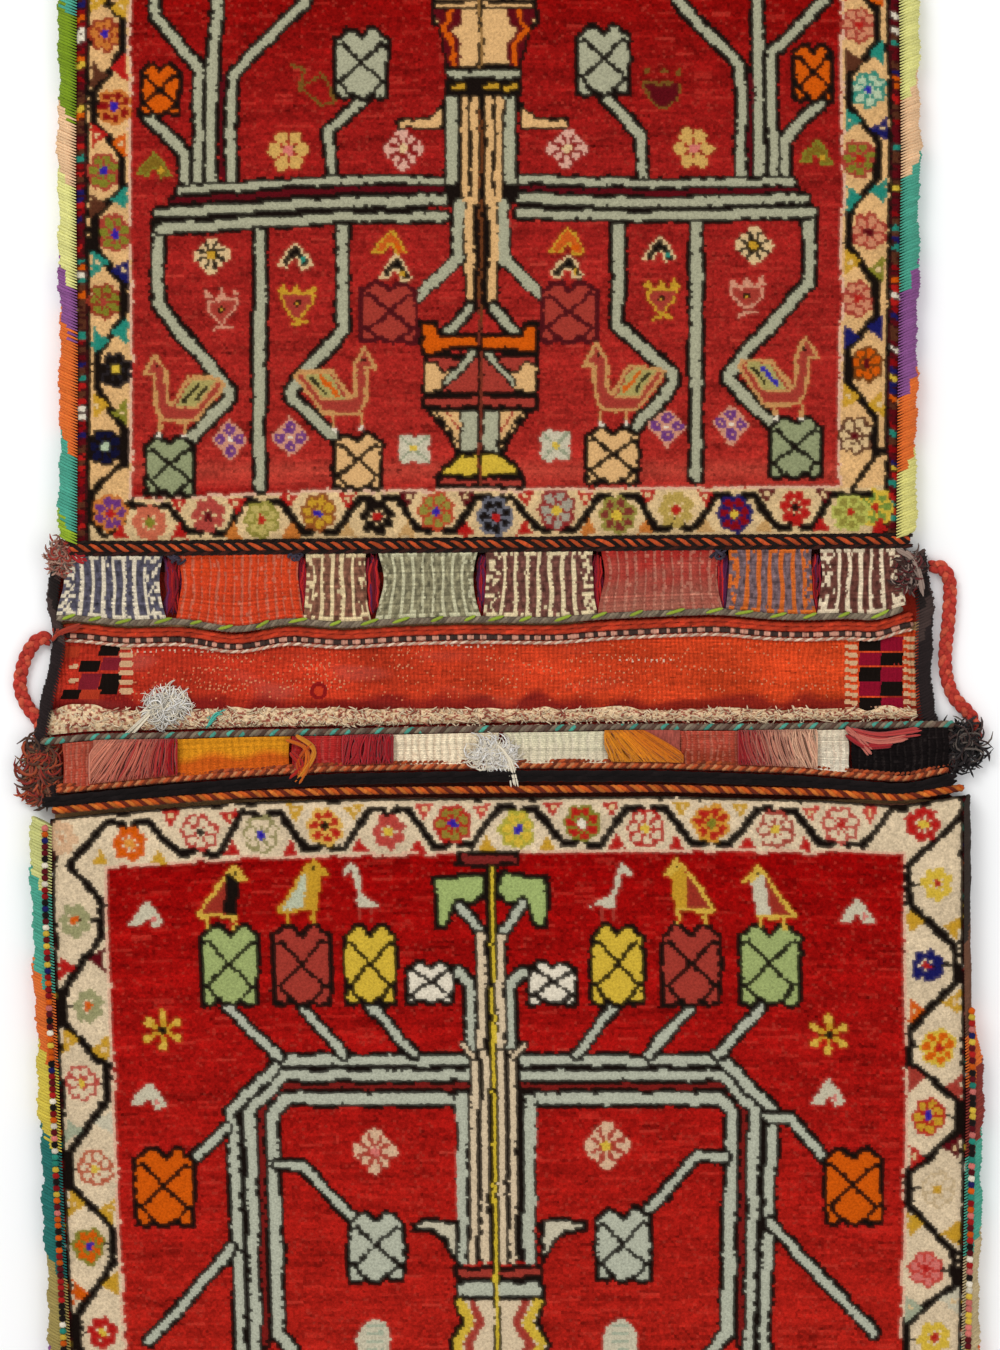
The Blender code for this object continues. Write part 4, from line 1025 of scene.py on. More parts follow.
    mouth_shades = [
        (ORANGE, tone(226, 150, 60), None), (IVORY, BLACK, tone(186, 50, 44)),
        (IVORY, BLUE, tone(150, 140, 90)),
        (RED, BLACK, tone(226, 176, 80)), (rose, YELLOW, None), (tone(150, 130, 50), BLUE, RED),
        (YELLOW, BLUE, tone(180, 170, 60)), (RED, WHITE, OLIVE), (IVORY, YELLOW, RED),
        (RED, OLIVE, tone(214, 150, 50)),
        (IVORY, YELLOW, BRICK), (IVORY, RED, rose),
    ]
    accents = [GOLD, RED, RED, GOLD, RED, tone(200, 60, 50)]
    peaks, troughs = [130, 262, 389, 517, 646, 776], [200, 325, 453, 582, 711, 840]
    mouth_border(chart, peaks, troughs, line_of(LOWER_MOUTH, 11), line_of(field_end, -7), mouth_shades,
                 accents)
    far_edge = LOWER_END_V - 14
    mouth_border(chart, peaks + [900], troughs, lambda u: far_edge, lambda u: far_edge - 42, mouth_shades,
                 accents)


def pile_face(left, right, near, far, paint, seed):
    """One face: a soft slab of knots, each row of them following the cloth's own edges.

    The pile is lower at its rim, and where the wool is black, since that wears first. It stands for the
    four nodes of flat wool that make up the same face in the CAD model.
    """
    upper = far < MIDDLE_V
    seen = 0.0 if upper else 1350.0
    before, after = (UNSEEN_ROWS, SEEN_ROWS) if upper else (SEEN_ROWS, UNSEEN_ROWS)
    v_rows = np.concatenate([np.linspace(near, seen, before + 1)[:-1], np.linspace(seen, far, after + 1)])
    v_flat, s_grid = crossed(v_rows, shares(FACE_COLUMNS + 1))
    rows = len(v_rows) - 1
    edge_left, edge_right = along(left, v_flat), along(right, v_flat)
    u = edge_left + (edge_right - edge_left) * s_grid
    mouth = along(UPPER_MOUTH if upper else LOWER_MOUTH, u)
    t_grid = (v_flat - near) / (far - near)
    share = t_grid if upper else 1 - t_grid
    v = v_flat + (mouth - (far if upper else near)) * np.clip(share, 0, 1) ** 3
    u_mid, v_mid = centres(u), centres(v)
    local = np.random.default_rng(seed)
    sway_u = 0.9 * ripple(u_mid, v_mid, 42, seed) + 0.5 * ripple(u_mid, v_mid, 15, seed + 2)
    sway_v = 0.9 * ripple(u_mid, v_mid, 42, seed + 3) + 0.5 * ripple(u_mid, v_mid, 15, seed + 4)
    sway_u = sway_u + local.normal(0, 0.22, (rows, 1)) + local.normal(0, 0.12, u_mid.shape)
    sway_v = sway_v + local.normal(0, 0.12, u_mid.shape)
    chart = Chart(u_mid + sway_u, v_mid + sway_v)
    paint(chart)
    colours = np.clip(chart.colour, 0.0, 1.0)
    x, y = world(u, v)
    height = FACE_TOP + 0.0007 * ripple(x, y, 0.16, seed) + 0.0004 * ripple(x, y, 0.05, seed + 1)
    away = np.minimum(np.minimum(s_grid, 1 - s_grid) * 0.57, np.minimum(t_grid, 1 - t_grid) * 0.6)
    edge_drop, edge_reach = 0.0035, 0.0045
    height -= edge_drop * np.exp(-away / edge_reach)
    darkest = 0.022
    worn = np.clip((darkest - colours.mean(axis=-1)) / darkest, 0, 1)
    sunk = np.zeros_like(height)
    for dr in (0, 1):
        for dc in (0, 1):
            sunk[dr : dr + rows, dc : dc + FACE_COLUMNS] += worn / 4
    height -= 0.0009 * sunk
    height += local.normal(0, 0.00016, height.shape)
    x = x + local.normal(0, 0.00022, x.shape)
    y = y + local.normal(0, 0.00022, y.shape)
    cloth = Cloth()
    cloth.slab(x, y, height, FACE_BASE, colours, blend=0.36)
    side = "upper" if upper else "lower"
    nodes = [side + "_" + part for part in ("pile_face", "border", "meander", "tree")]
    piece = cloth.piece("pile_" + side, PILE, nodes)


# Kilim back and bridge

BRIDGE_LEFT = [(500, 62), (560, 58), (600, 52), (640, 62), (700, 48), (740, 40), (780, 50), (800, 56)]
BRIDGE_RIGHT = [(500, 905), (560, 915), (600, 922), (640, 920), (700, 921), (740, 930), (800, 945)]
RIB = 4.5


def bridge_colours(u, v):
    """The orange-red kilim: darker to the left, with painted shade beside the frayed strip and between its
    ribs.
    """
    shade = np.clip((u - 60) / 800, 0, 1)[..., None]
    base = tone(200, 54, 36) * (1 - shade) + tone(224, 76, 34) * shade
    rows, columns = u.shape
    dashes = np.repeat(rng.normal(1.0, 0.12, (rows, columns // 6 + 1)), 6, axis=1)[:, :columns]
    weft = rng.normal(1.0, 0.07, (rows, 1)) * dashes * rng.normal(1.0, 0.07, u.shape)
    # Painted shade between the ribs: the colour is darker in the grooves.
    rib = 0.8 + 0.28 * np.abs(np.sin(math.pi * (u + 1.2 * ripple(u, v, 40, 5)) / RIB))
    patch = 1 + 0.14 * ripple(u, v * 2, 120, 41)
    colours = base * (weft * patch * rib)[..., None]
    pink = (np.clip(ripple(u, v * 3, 90, 57) - 0.4, 0, 1) * np.clip((700 - u) / 500, 0, 1))[..., None]
    colours = colours * (1 - 0.5 * pink) + tone(196, 92, 78) * 0.5 * pink
    # Painted shade: the kilim darkens to a deep red just above the frayed strip.
    strip_shade = np.clip((v - 694 - 5 * ripple(u, v, 60, 15)) / 9, 0, 1)[..., None] * 0.75
    colours = colours * (1 - strip_shade) + tone(120, 22, 26) * strip_shade
    under = (v < 612) | (v > 738)
    colours[under] = tone(120, 14, 26) * rng.uniform(0.7, 1.2, u.shape)[under][..., None]
    return colours


def flecks(chart):
    """White warp flecks: dotted rows, and zigzags woven in groups."""
    pale = tone(228, 150, 108)
    for start, stop, v in ((130, 230, 651), (300, 360, 646), (446, 492, 646), (620, 676, 660)):
        for u in np.arange(start, stop, 6.4):
            chart.disc(u + rng.normal(0, 0.6), v + rng.normal(0, 0.5), 1.15, tone(232, 196, 168))
    for _ in range(46):
        u0, v0 = rng.uniform(132, 800), rng.uniform(654, 690)
        for k in range(int(rng.integers(3, 10))):
            place = (u0 + 4.4 * k, v0 + (2.6 if k % 2 else 0) + rng.normal(0, 0.4))
            chart.disc(*place, 0.8, pale)
    for _ in range(420):
        chart.disc(rng.uniform(130, 842), rng.uniform(642, 700), 0.8, tone(226, 130, 90))


def edge_checks(chart):
    """Chequered columns at the bridge's two edges."""
    comb = tone(226, 180, 136)
    dusky = tone(136, 34, 46)
    flame = tone(190, 62, 36)
    left_checks = [
        (98, 645, 118, 656, BLACK), (100, 657, 118, 671, dusky), (78, 660, 98, 672, BLACK),
        (78, 673, 98, 689, dusky),
        (98, 673, 118, 694, BLACK), (60, 690, 78, 700, BLACK), (60, 646, 78, 658, flame),
        (78, 690, 98, 700, flame),
    ]
    for low, top, high, bottom, colour in left_checks:
        lean = (bottom - top) * 0.15
        chart.polygon([(low + lean, top), (high + lean, top), (high - lean, bottom), (low - lean, bottom)],
                      colour)
    for v in np.arange(646, 700, 9.0):
        chart.line([(120, v), (129, v)], 5.4, comb)
    for v in (667, 681):
        chart.line([(69, v), (75, v - 1)], 4.0, comb)
    for row, v in enumerate(np.arange(637, 712, 15.0)):
        for column, u in enumerate((861, 883)):
            dark = (row + column) % 2 == 0
            colour = BLACK if dark else tone(150, 18, 44)
            chart.polygon([(u, v), (u + 22, v), (u + 21, v + 14), (u - 1, v + 14)], colour)
    for v in np.arange(638, 712, 8.0):
        for u in (848, 907):
            chart.line([(u, v), (u + 9, v + 1)], 4.6, comb)


def kilim():
    """The flat-woven strip: ribs along its length, finer where the bridge is in the open."""
    top_v, end_v = ends_of("kilim_back_and_bridge")
    cloth = Cloth()
    spans = [
        (np.linspace(top_v, 572, 25), 120),
        (np.linspace(572, 630, 8), 200),
        (np.linspace(630, 738, 68), 860),
        (np.linspace(738, 800, 8), 200),
        (np.linspace(800, end_v, 25), 120),
    ]
    for v_rows, columns in spans:
        v, s_grid = crossed(v_rows, shares(columns + 1))
        bag_left = np.where(v < MIDDLE_V, along(UPPER_LEFT, v) + 2, along(LOWER_LEFT, v) + 3)
        bag_right = np.where(v < MIDDLE_V, along(UPPER_RIGHT, v) - 2, along(LOWER_RIGHT, v) - 3)
        open_part = np.clip((v - 550) / 20, 0, 1) * np.clip((802 - v) / 12, 0, 1)
        left = bag_left * (1 - open_part) + along(BRIDGE_LEFT, v) * open_part
        right = bag_right * (1 - open_part) + along(BRIDGE_RIGHT, v) * open_part
        u = left + (right - left) * s_grid
        chart = Chart(centres(u), centres(v))
        if columns > 300:
            chart.colour = bridge_colours(chart.u, chart.v)
            flecks(chart)
            edge_checks(chart)
            chart.disc(318, 691, 9.0, tone(150, 28, 26))
            chart.disc(318, 691, 5.0, tone(214, 64, 36))
        else:
            band = np.sin(chart.v / 17) + np.sin(chart.v / 7.3)
            wool = np.where(band[..., None] > 0.9, tone(96, 44, 34), tone(176, 50, 34))
            wool = np.where(band[..., None] < -1.5, tone(206, 160, 110), wool)
            chart.colour = wool * rng.normal(1, 0.08, chart.u.shape)[..., None]
        x, y = world(u, v)
        rib = np.abs(np.sin(math.pi * (u + 1.2 * ripple(u, v, 40, 5)) / RIB))
        bare = np.clip((v - 640) / 20, 0, 1) * np.clip((730 - v) / 20, 0, 1)
        puff = (0.0009 * ripple(x, y, 0.05, 77) + 0.0005 * ripple(x, y * 3, 0.03, 78)) * bare
        ring = 0.0016 * np.exp(-((np.hypot(u - 318, v - 692) - 9) / 3.5) ** 2)
        top = np.minimum(BACK_TOP - 0.0008 + 0.0008 * rib + puff + ring, BACK_TOP + 0.002)
        cloth.slab(x, y, top, 0.0002, chart.colour)
    piece = cloth.piece("kilim_cloth", FLATWEAVE, ["kilim_back_and_bridge"])


# Rows of the mouths

UPPER_CORD = [(40, 620), (62, 617), (90, 619), (122, 623), (150, 622), (183, 621), (210, 626), (232, 630),
              (260, 626),
              (285, 620), (340, 625), (400, 621), (470, 619), (555, 620), (600, 616), (660, 613), (720, 611),
              (770, 616), (810, 617), (850, 615), (880, 618), (905, 606)]
BLACK_BAND = [(40, 803), (90, 798), (170, 790), (260, 783), (340, 779), (500, 776), (660, 776), (800, 781),
              (905, 790), (960, 777)]
LOWER_CORD = [(40, 742), (90, 737), (160, 736), (250, 733), (340, 732), (480, 729), (640, 727), (760, 727),
              (950, 724)]


def route(pairs, start, stop, lift, shift=0.0, step=2.4):
    """Points of a row across the bag, at one height."""
    u = np.arange(start, stop, step)
    return raised(u, along(pairs, u) + shift, lift)


def plied(cloth, points, radius, strand, pitch, shades, sides=5, uneven=0.0):
    """Strands twisted about a route. shades has a colour, or a function of the distance, for each strand."""
    far = distances(points)
    side, rise = bearings(points)
    count = len(shades)
    wander = uneven * ripple(points[:, 0], points[:, 1], 0.035, 19)
    for k, shade in enumerate(shades):
        angle = (2 * math.pi * (far / pitch + k / count) + wander)[:, None]
        path = points + radius * (side * np.cos(angle) + rise * np.sin(angle))
        colour = shade(far) if callable(shade) else np.tile(shade, (len(points), 1))
        fade = 1.0 + 0.16 * ripple(points[:, 0], points[:, 1] + k, 0.02, 23 + k)
        colour = colour * (rng.normal(1.0, 0.1, len(points)) * fade)[:, None]
        cloth.tube(path, strand, colour, sides)


def dashes(ground, mark, pitch, length, seed):
    """A strand's colour along its length: ground, with dashes of mark."""
    local = np.random.default_rng(seed)

    def shade(far):
        slot = np.floor(far / pitch).astype(int)
        starts = local.uniform(0, 0.4, slot.max() + 2)[slot] * pitch
        keep = local.random(slot.max() + 2)[slot] < 0.85
        marked = keep & ((far - slot * pitch - starts) % pitch < length)
        return np.where(marked[:, None], mark, ground)

    return shade


def twined(cloth, points, radius, shades, pitch):
    """A row of flat stitches, dark and light by turns."""
    uneven = distances(points) + 0.3 * pitch * ripple(points[:, 0], points[:, 1], 0.035, 17)
    phase = (uneven / pitch) % 1.0
    dark = phase < 0.52 + 0.14 * ripple(points[:, 0], points[:, 1], 0.012, 29)
    bulge = np.abs(np.sin(2 * math.pi * phase)) ** 0.5
    colour = np.where(dark[:, None], shades[0], shades[1]) * rng.normal(1.0, 0.16, (len(points), 1))
    cloth.tube(points, radius * (0.62 + 0.38 * bulge), colour, 6)


def mouth_rows():
    """Every rope, cord, welt and twined row of both mouths."""
    soot = tone(34, 22, 18)
    rope = Cloth()
    level = FACE_TOP - 0.0035
    near = [(u, v + 7) for u, v in UPPER_MOUTH]
    flame = tone(204, 84, 40)
    plied(rope, route(near, 70, 912, level), 0.0014, 0.0017, -0.0178, [soot, flame, soot, flame * 0.7], 5,
          0.55)
    plied(rope, route(near, 68, 914, level - 0.0003, -5.0), 0.0007, 0.0013, 0.012, [soot, soot * 1.3])
    plied(rope, route(near, 68, 914, level - 0.0006, 5.4), 0.0007, 0.0014, 0.012, [soot, tone(60, 30, 24)])
    rope.piece("mouth_rope_upper", YARN, ["upper_mouth_rope"])

    grey = tone(150, 134, 112)
    cord = Cloth()
    level = FACE_BASE + 0.0003
    plied(cord, route(UPPER_CORD, 56, 905, level), 0.0012, 0.0014, 0.009,
          [grey, tone(120, 104, 88), grey * 0.8], 4)
    cord.piece("closure_cord_upper", YARN, ["upper_closure_cord"])
    lime = Cloth()
    local = np.random.default_rng(12)
    u = 62.0
    t = shares(6)
    while u < 892:
        long = local.uniform(11, 19)
        uu = u + long * t
        vv = along(UPPER_CORD, uu) + 1.5 - 5 * t
        z = level + 0.0022 + 0.0005 * arch(t)
        lime.tube(raised(uu, vv, z), 0.0011, tone(158, 180, 60) * local.uniform(0.85, 1.1), 6)
        u += long + local.uniform(11, 24)
    lime.piece("lime_stitches", YARN)

    welt = Cloth()
    height = BACK_TOP + 0.0030
    scarlet = tone(216, 70, 40)
    plied(welt, route(UPPER_CORD, 62, 916, height, 7.6, 4.0), 0.0004, 0.0016, 0.016,
          [scarlet, scarlet * 0.85])
    plied(welt, route(UPPER_CORD, 62, 916, height - 0.0003, 12.2, 4.0), 0.0004, 0.0015, 0.016,
          [scarlet * 0.75, scarlet * 0.95])
    welt.piece("red_welt", YARN, ["mouth_welt"])
    rows = Cloth()
    pink = tone(214, 154, 130)
    dark = tone(70, 52, 46)
    twined(rows, route(UPPER_CORD, 64, 916, height - 0.0010, 17.8, 1.6), 0.0018, [dark, pink], 0.0086)
    plied(rows, route(UPPER_CORD, 64, 916, height - 0.0014, 22.8), 0.0005, 0.0009, 0.007,
          [tone(232, 206, 180), tone(206, 140, 116)])
    rows.piece("twined_row", YARN, ["bridge_twined_row"])

    lower = Cloth()
    level = FACE_TOP - 0.0042
    rust, brown = tone(196, 88, 46), tone(130, 58, 34)
    plied(lower, route(BLACK_BAND, 56, 950, level - 0.0014, -10.5), 0.0009, 0.0016, 0.0080,
          [rust, tone(206, 130, 84), brown], 4, 0.4)
    plied(lower, route(BLACK_BAND, 56, 950, level - 0.0020, -15.0), 0.0006, 0.0013, 0.0070,
          [rust * 0.8, brown])
    coal = tone(22, 16, 16)
    plied(lower, route(BLACK_BAND, 42, 962, level, -2.6, 5.0), 0.0005, 0.0020, 0.022, [coal, coal * 1.3])
    plied(lower, route(BLACK_BAND, 42, 962, level - 0.0002, 2.4, 5.0), 0.0005, 0.0019, 0.022,
          [coal * 1.2, coal])
    lower.piece("black_band", YARN, ["lower_twined_row"])
    row = Cloth()
    edge = [(u, v - 8) for u, v in LOWER_MOUTH]
    plied(row, route(edge, 52, 966, level - 0.0002), 0.0012, 0.0016, -0.0120,
          [tone(206, 90, 30), tone(110, 40, 24), tone(210, 114, 44)], 5, 0.6)
    row.piece("orange_row", YARN, ["lower_mouth_rope"])

    low_cord = Cloth()
    level = FACE_BASE + 0.0008
    stitch = dashes(tone(118, 98, 84), tone(84, 166, 146), 0.024, 0.012, 8)
    plied(low_cord, route(LOWER_CORD, 40, 955, level), 0.0012, 0.0015, 0.010,
          [grey * 0.8, tone(96, 70, 58), stitch])
    low_cord.piece("closure_cord_lower", YARN, ["lower_closure_cord"])


# Closure tabs


def mottled(colours, seed):
    """Uneven spinning: changes of shade along each weft and from stitch to stitch."""
    local = np.random.default_rng(seed)
    rows, columns = colours.shape[:2]
    weft = local.normal(1.0, 0.09, (rows, 1)) * local.normal(1.0, 0.12, (rows, columns))
    return colours * weft[..., None]


def clumps(shape, share):
    """A mask of random 2 by 2 blocks that cover about a share of the cells."""
    coarse = rng.random((shape[0] // 2 + 1, shape[1] // 2 + 1)) < share
    return np.repeat(np.repeat(coarse, 2, axis=0), 2, axis=1)[: shape[0], : shape[1]]


def striped(pale, dark, pitch, share, speckle):
    """A shade for vertical stripes: pale ribs on a darker ground, mottled at the tab's two edges, with
    painted shade between the rows of beads.

    A shade gives the colours for u, and for the shares s and t of the way across and down the tab.
    """
    def shade(u, s, t):
        cycle = (u / pitch + rng.normal(0, 0.015, u.shape)) % 1.0
        pick = cycle < share
        edge = np.minimum(s, 1 - s) < speckle + 0.03 * np.sin(t * 21)
        pick = np.where(edge, clumps(u.shape, 0.42), pick)
        pick = pick ^ clumps(u.shape, 0.007)
        bound = (t < 0.05) | (t > 0.95)
        pick = pick | (bound & clumps(u.shape, 0.5))
        # Painted shade: darker between the rows of beads that the tab's relief raises.
        beads = 0.86 + 0.14 * np.sin(t * 94)
        worn = dark * (1 + 0.35 * ripple(u, t * 60, 7, 31))[..., None]
        return np.where(pick[..., None], pale, worn) * beads[..., None]
    return shade


def banded(first, second, line, pitch, depth=0.24):
    """A shade that turns from first to second down the tab, with fine pale lines along the ribs, and painted
    shade between the rows of beads and between the ribs.
    """
    def shade(u, s, t):
        turn = np.clip(t + 0.12 * ripple(u, t * 60, 24, 37), 0, 1)[..., None]
        base = first * (1 - turn) + second * turn
        cycle = (u / pitch) % 1.0
        mix = ((cycle < 0.26) & (rng.random(u.shape) < 0.8))[..., None] * 0.5
        speck = clumps(u.shape, 0.03)[..., None] * 0.5
        mix = np.maximum(mix, speck)
        # Painted shade between the rows of beads.
        beads = 0.88 + 0.12 * np.sin(t * 94)
        # Painted shade between the ribs; depth is how much darker the grooves are than the crests.
        rib = 1 - depth / 2 + depth * np.abs(np.sin(math.pi * cycle))
        return (base * (1 - mix) + line * mix) * (beads * rib)[..., None]
    return shade


def halves(first, second, at, pitch):
    """A shade that changes from first to second at a share of the tab's length, with painted shade between
    the ribs.
    """
    def shade(u, s, t):
        low = np.clip((t - at - 0.08 * np.sin(u / 9)) / 0.25 + 0.5, 0, 1)[..., None]
        out = first * (1 - low) + second * low
        cycle = (u / pitch) % 1.0
        # Painted shade between the ribs.
        return out * (0.8 + 0.26 * np.abs(np.sin(math.pi * cycle)))[..., None]
    return shade


def tab(name, node, left, right, top, bottom, pitch, shade, pinch, near, far, flare=0.0):
    """A ribbed tab: left and right are its edges, top and bottom functions of u, near and far its heights."""
    column_width, rows = 1.5, 34
    columns = max(16, int((right - left) / column_width))
    t_grid, s_grid = crossed(shares(rows + 1), shares(columns + 1))
    pull = pinch * arch(t_grid) * (1 - 2 * s_grid)
    fan = flare * (t_grid - 0.5) * (2 * s_grid - 1)
    u = left + (right - left) * s_grid + pull + fan + 0.9 * ripple(s_grid * 60, t_grid * 30, 20, len(name))
    v = top(u) + (bottom(u) - top(u)) * t_grid
    straight = left + (right - left) * s_grid
    colours = mottled(shade(centres(straight), centres(s_grid), centres(t_grid)), int(left))
    x, y = world(u, v)
    rib = np.abs(np.sin(math.pi * 2 * straight / pitch))
    edge = np.minimum(s_grid, 1 - s_grid) * (right - left) * UNIT
    beads = 0.0001 * np.sin(t_grid * 94)
    relief = 0.06 * pitch * UNIT * rib + 0.0005 * ripple(x, y, 0.03, 5 + len(name))
    edge_drop, edge_reach, thickness = 0.0012, 0.0016, 0.0012
    z = near + (far - near) * t_grid ** 1.4 + relief + beads
    z -= edge_drop * np.exp(-edge / edge_reach)
    cloth = Cloth()
    cloth.slab(x, y, z, z - thickness, colours, blend=0.3)
    piece = cloth.piece(name, FLATWEAVE, [node])


def upper_tabs():
    """The upper bag's tabs: edges, shade, pitch of the ribs, and how far each is drawn in at its waist."""
    top, bottom = line_of(UPPER_MOUTH, 15), line_of(UPPER_CORD, -3)
    pale = tone(252, 236, 206)
    rows = [
        ("navy", 58, 164, striped(pale, tone(94, 90, 104), 11.2, 0.33, 0.13), 11.2, 4),
        ("orange", 177, 302, banded(tone(222, 72, 32), tone(214, 68, 36), tone(214, 140, 112), 8.6), 8.6, 4),
        ("brown", 304, 369, striped(tone(255, 228, 176), tone(140, 92, 72), 11.0, 0.34, 0.12), 11.0, 3),
        ("sage", 377, 479, striped(tone(222, 216, 176), tone(150, 142, 110), 10.8, 0.26, 0.05), 10.8, 5),
        ("umber", 484, 596, striped(tone(255, 232, 184), tone(122, 76, 66), 12.2, 0.33, 0.1), 12.2, 3),
        ("rose", 600, 721, banded(tone(186, 50, 42), tone(170, 100, 82), tone(226, 156, 130), 9.6), 9.6, 3),
        ("slate", 727, 815, striped(tone(232, 116, 46), tone(128, 104, 108), 12.0, 0.38, 0.08), 12.0, 3),
        ("walnut", 819, 905, striped(tone(255, 232, 196), tone(112, 66, 56), 11.6, 0.34, 0.13), 11.6, 3),
    ]
    for label, left, right, shade, pitch, pinch in rows:
        tab("tab_upper_" + label, "upper_tab_" + label, left, right, top, bottom, pitch, shade, pinch,
            FACE_TOP - 0.0048, FACE_BASE + 0.0012, 4.0)


def lower_tabs():
    """The lower bag's tabs: edges, shade and pitch of the ribs."""
    top, bottom = line_of(LOWER_CORD, 4), line_of(BLACK_BAND, -12)
    rows = [
        ("dusty_rose", 62, 96, banded(tone(190, 84, 64), tone(180, 70, 50), tone(214, 140, 114), 5.4, 0.4),
         5.4),
        ("gold", 173, 290, halves(tone(226, 146, 30), tone(214, 96, 26), 0.5, 7.5), 7.5),
        ("crimson", 291, 350, banded(tone(190, 48, 44), tone(170, 34, 34), tone(206, 90, 80), 7.0, 0.4), 7.0),
        ("cream", 389, 500, banded(tone(255, 236, 200), tone(252, 230, 196), tone(226, 190, 156), 7.6, 0.4),
         7.6),
        ("mint", 504, 610, banded(tone(226, 218, 182), tone(232, 216, 184), tone(252, 236, 206), 8.4, 0.4),
         8.4),
        ("rose", 678, 746, banded(tone(192, 80, 62), tone(140, 52, 30), tone(210, 130, 104), 6.4, 0.4), 6.4),
        ("ivory", 812, 850, banded(tone(238, 220, 190), tone(236, 224, 200), tone(226, 196, 170), 7.0), 7.0),
        ("black", 852, 950, banded(tone(24, 18, 18), tone(18, 14, 14), tone(52, 44, 42), 7.8, 0.5), 7.8),
    ]
    for label, left, right, shade, pitch in rows:
        tab("tab_lower_" + label, "lower_tab_" + label, left, right, top, bottom, pitch, shade, 1.0,
            FACE_BASE + 0.0022, FACE_TOP - 0.0052)


def yarn_wraps():
    """Silky yarn drawn over the cloth between the lower tabs, in loose strands over a ground of their own."""
    wraps = [
        ("pink", 93, 174, (115, 174, 81, 174), tone(226, 140, 112), tone(176, 16, 26)),
        ("scarlet", 346, 390, (352, 390, 346, 390), tone(186, 34, 40), tone(170, 20, 32)),
        ("amber", 608, 680, (606, 636, 626, 682), tone(236, 146, 26), tone(222, 120, 20)),
        ("coral", 742, 814, (742, 802, 752, 814), tone(170, 30, 36), tone(236, 184, 150)),
    ]
    t = shares(10)
    for number, (label, left, right, (top_left, top_right, low_left, low_right), first,
                 second) in enumerate(wraps):
        cloth = Cloth()
        local = np.random.default_rng(30 + number)
        s = shares(56)
        t_grid, s_grid = crossed(shares(11), s)
        u = left + (right - left) * s_grid
        v = along(LOWER_CORD, u) + 3 + (along(BLACK_BAND, u) - 15 - along(LOWER_CORD, u)) * t_grid
        x, y = world(u, v)
        mix = centres(s_grid)[..., None]
        ground = (first * (1 - mix) + second * mix) * local.uniform(0.55, 1.05, (1, len(s) - 1, 1))
        if label == "amber":
            fan = top_right + (low_right - top_right) * t_grid[:-1, :-1] + 2
            bare = (u[:-1, :-1] > fan)[..., None]
            ground = np.where(bare, tone(176, 84, 70) * local.uniform(0.7, 1.15, (10, len(s) - 1, 1)), ground)
        base = FACE_BASE + 0.0022 + 0.0006 * arch(t_grid)
        cloth.slab(x, y, base, base - 0.0010, ground)
        strand_gap = 0.62
        count = int((right - left) / strand_gap)
        for k in range(count):
            share = (k + local.uniform(0, 1)) / count * 1.5 - 0.25
            sway = local.normal(0, 3.0)
            start = top_left + (top_right - top_left) * share
            stop = low_left + (low_right - low_left) * share
            u = start + (stop - start) * t + sway * arch(t)
            u = np.clip(u, left - 3, right + 3)
            top = along(LOWER_CORD, u) + 3
            v = top + (along(BLACK_BAND, u) - 14 - top) * t
            z = FACE_BASE + 0.0030 + 0.0020 * arch(t) + local.uniform(0, 0.0010) + 0.0008 * t
            mix = np.clip(share + local.normal(0, 0.14), 0, 1)
            colour = (first * (1 - mix) + second * mix) * local.uniform(0.75, 1.2)
            cloth.tube(raised(u, v, z), local.uniform(0.0005, 0.0009), colour, 3)
        cloth.piece("wrap_" + label, SILKY, ["lower_wrap_" + label])


# Bindings, cords and loose yarn


# Nearer the mouth than this, the lower bag's right edge is turned under, so that little of its binding shows
BARE_EDGE = 1010.0


def tucked(v):
    """The width of the lower bag's right binding, which narrows towards the mouth."""
    return 6.0 + 11.0 * min(max((v - BARE_EDGE) / 50, 0.0), 1.0)


def binding(name, nodes, edge, out, near, far, shades, width=18, seed=3, height=None, beaded=False):
    """Overcast stitches over a cloth edge. shades are (v up to which it runs, colour) pairs.

    out is 1 or -1, the side on which the edge lies. A beaded binding has a row of short stitches beside it.
    """
    cloth = Cloth()
    local = np.random.default_rng(seed)
    low, slope, thread = 0.0012, 24.0, 0.0014
    top = (FACE_TOP if height is None else height) - 0.0010
    t = shares(7)
    outness = arch(t)
    limits = np.array([limit for limit, _ in shades], float)
    colours = np.array([colour for _, colour in shades])
    stitch_pitch, bead_pitch, bead = 3.0, 6.2, 0.0026
    for v0 in np.arange(near, far, stitch_pitch):
        wave = 1 + 0.06 * math.sin(v0 / 19) + 0.05 * math.sin(v0 / 7.3)
        reach = (width(v0) if callable(width) else width) * wave * local.uniform(0.93, 1.05) * UNIT
        x, y = world(np.full_like(t, edge(v0)), v0 + 5.0 - 9.0 * outness)
        x = x + out * (reach * outness ** 0.8 - 0.0016)
        z = (top + low) / 2 + (top - low) / 2 * np.cos(math.pi * t)
        place = v0 + slope * outness + local.normal(0, 3.0)
        index = np.minimum(np.searchsorted(limits, place), len(shades) - 1)
        colour = colours[index] * local.uniform(0.88, 1.1)
        cloth.tube(np.stack([x, y, z], axis=-1), thread, colour, 5, up=(0.0, 1.0, 0.0))
    if beaded:
        short = np.linspace(-1.0, 1.0, 4)
        for v0 in np.arange(near + 6, far - 4, bead_pitch):
            if out > 0 and v0 < BARE_EDGE:
                continue
            x, y = world(edge(v0) + out * (4.4 + 3.0 * short), v0 - 1.0 * short)
            z = top + 0.0009 * (1 - short**2) - 0.0003 * short
            shade = GUARD_SHADES[int(local.integers(len(GUARD_SHADES)))] * local.uniform(0.8, 1.15)
            cloth.tube(np.stack([x, y, z], axis=-1), bead, shade, 5, up=(0.0, 1.0, 0.0))
    cloth.piece(name, YARN, nodes)


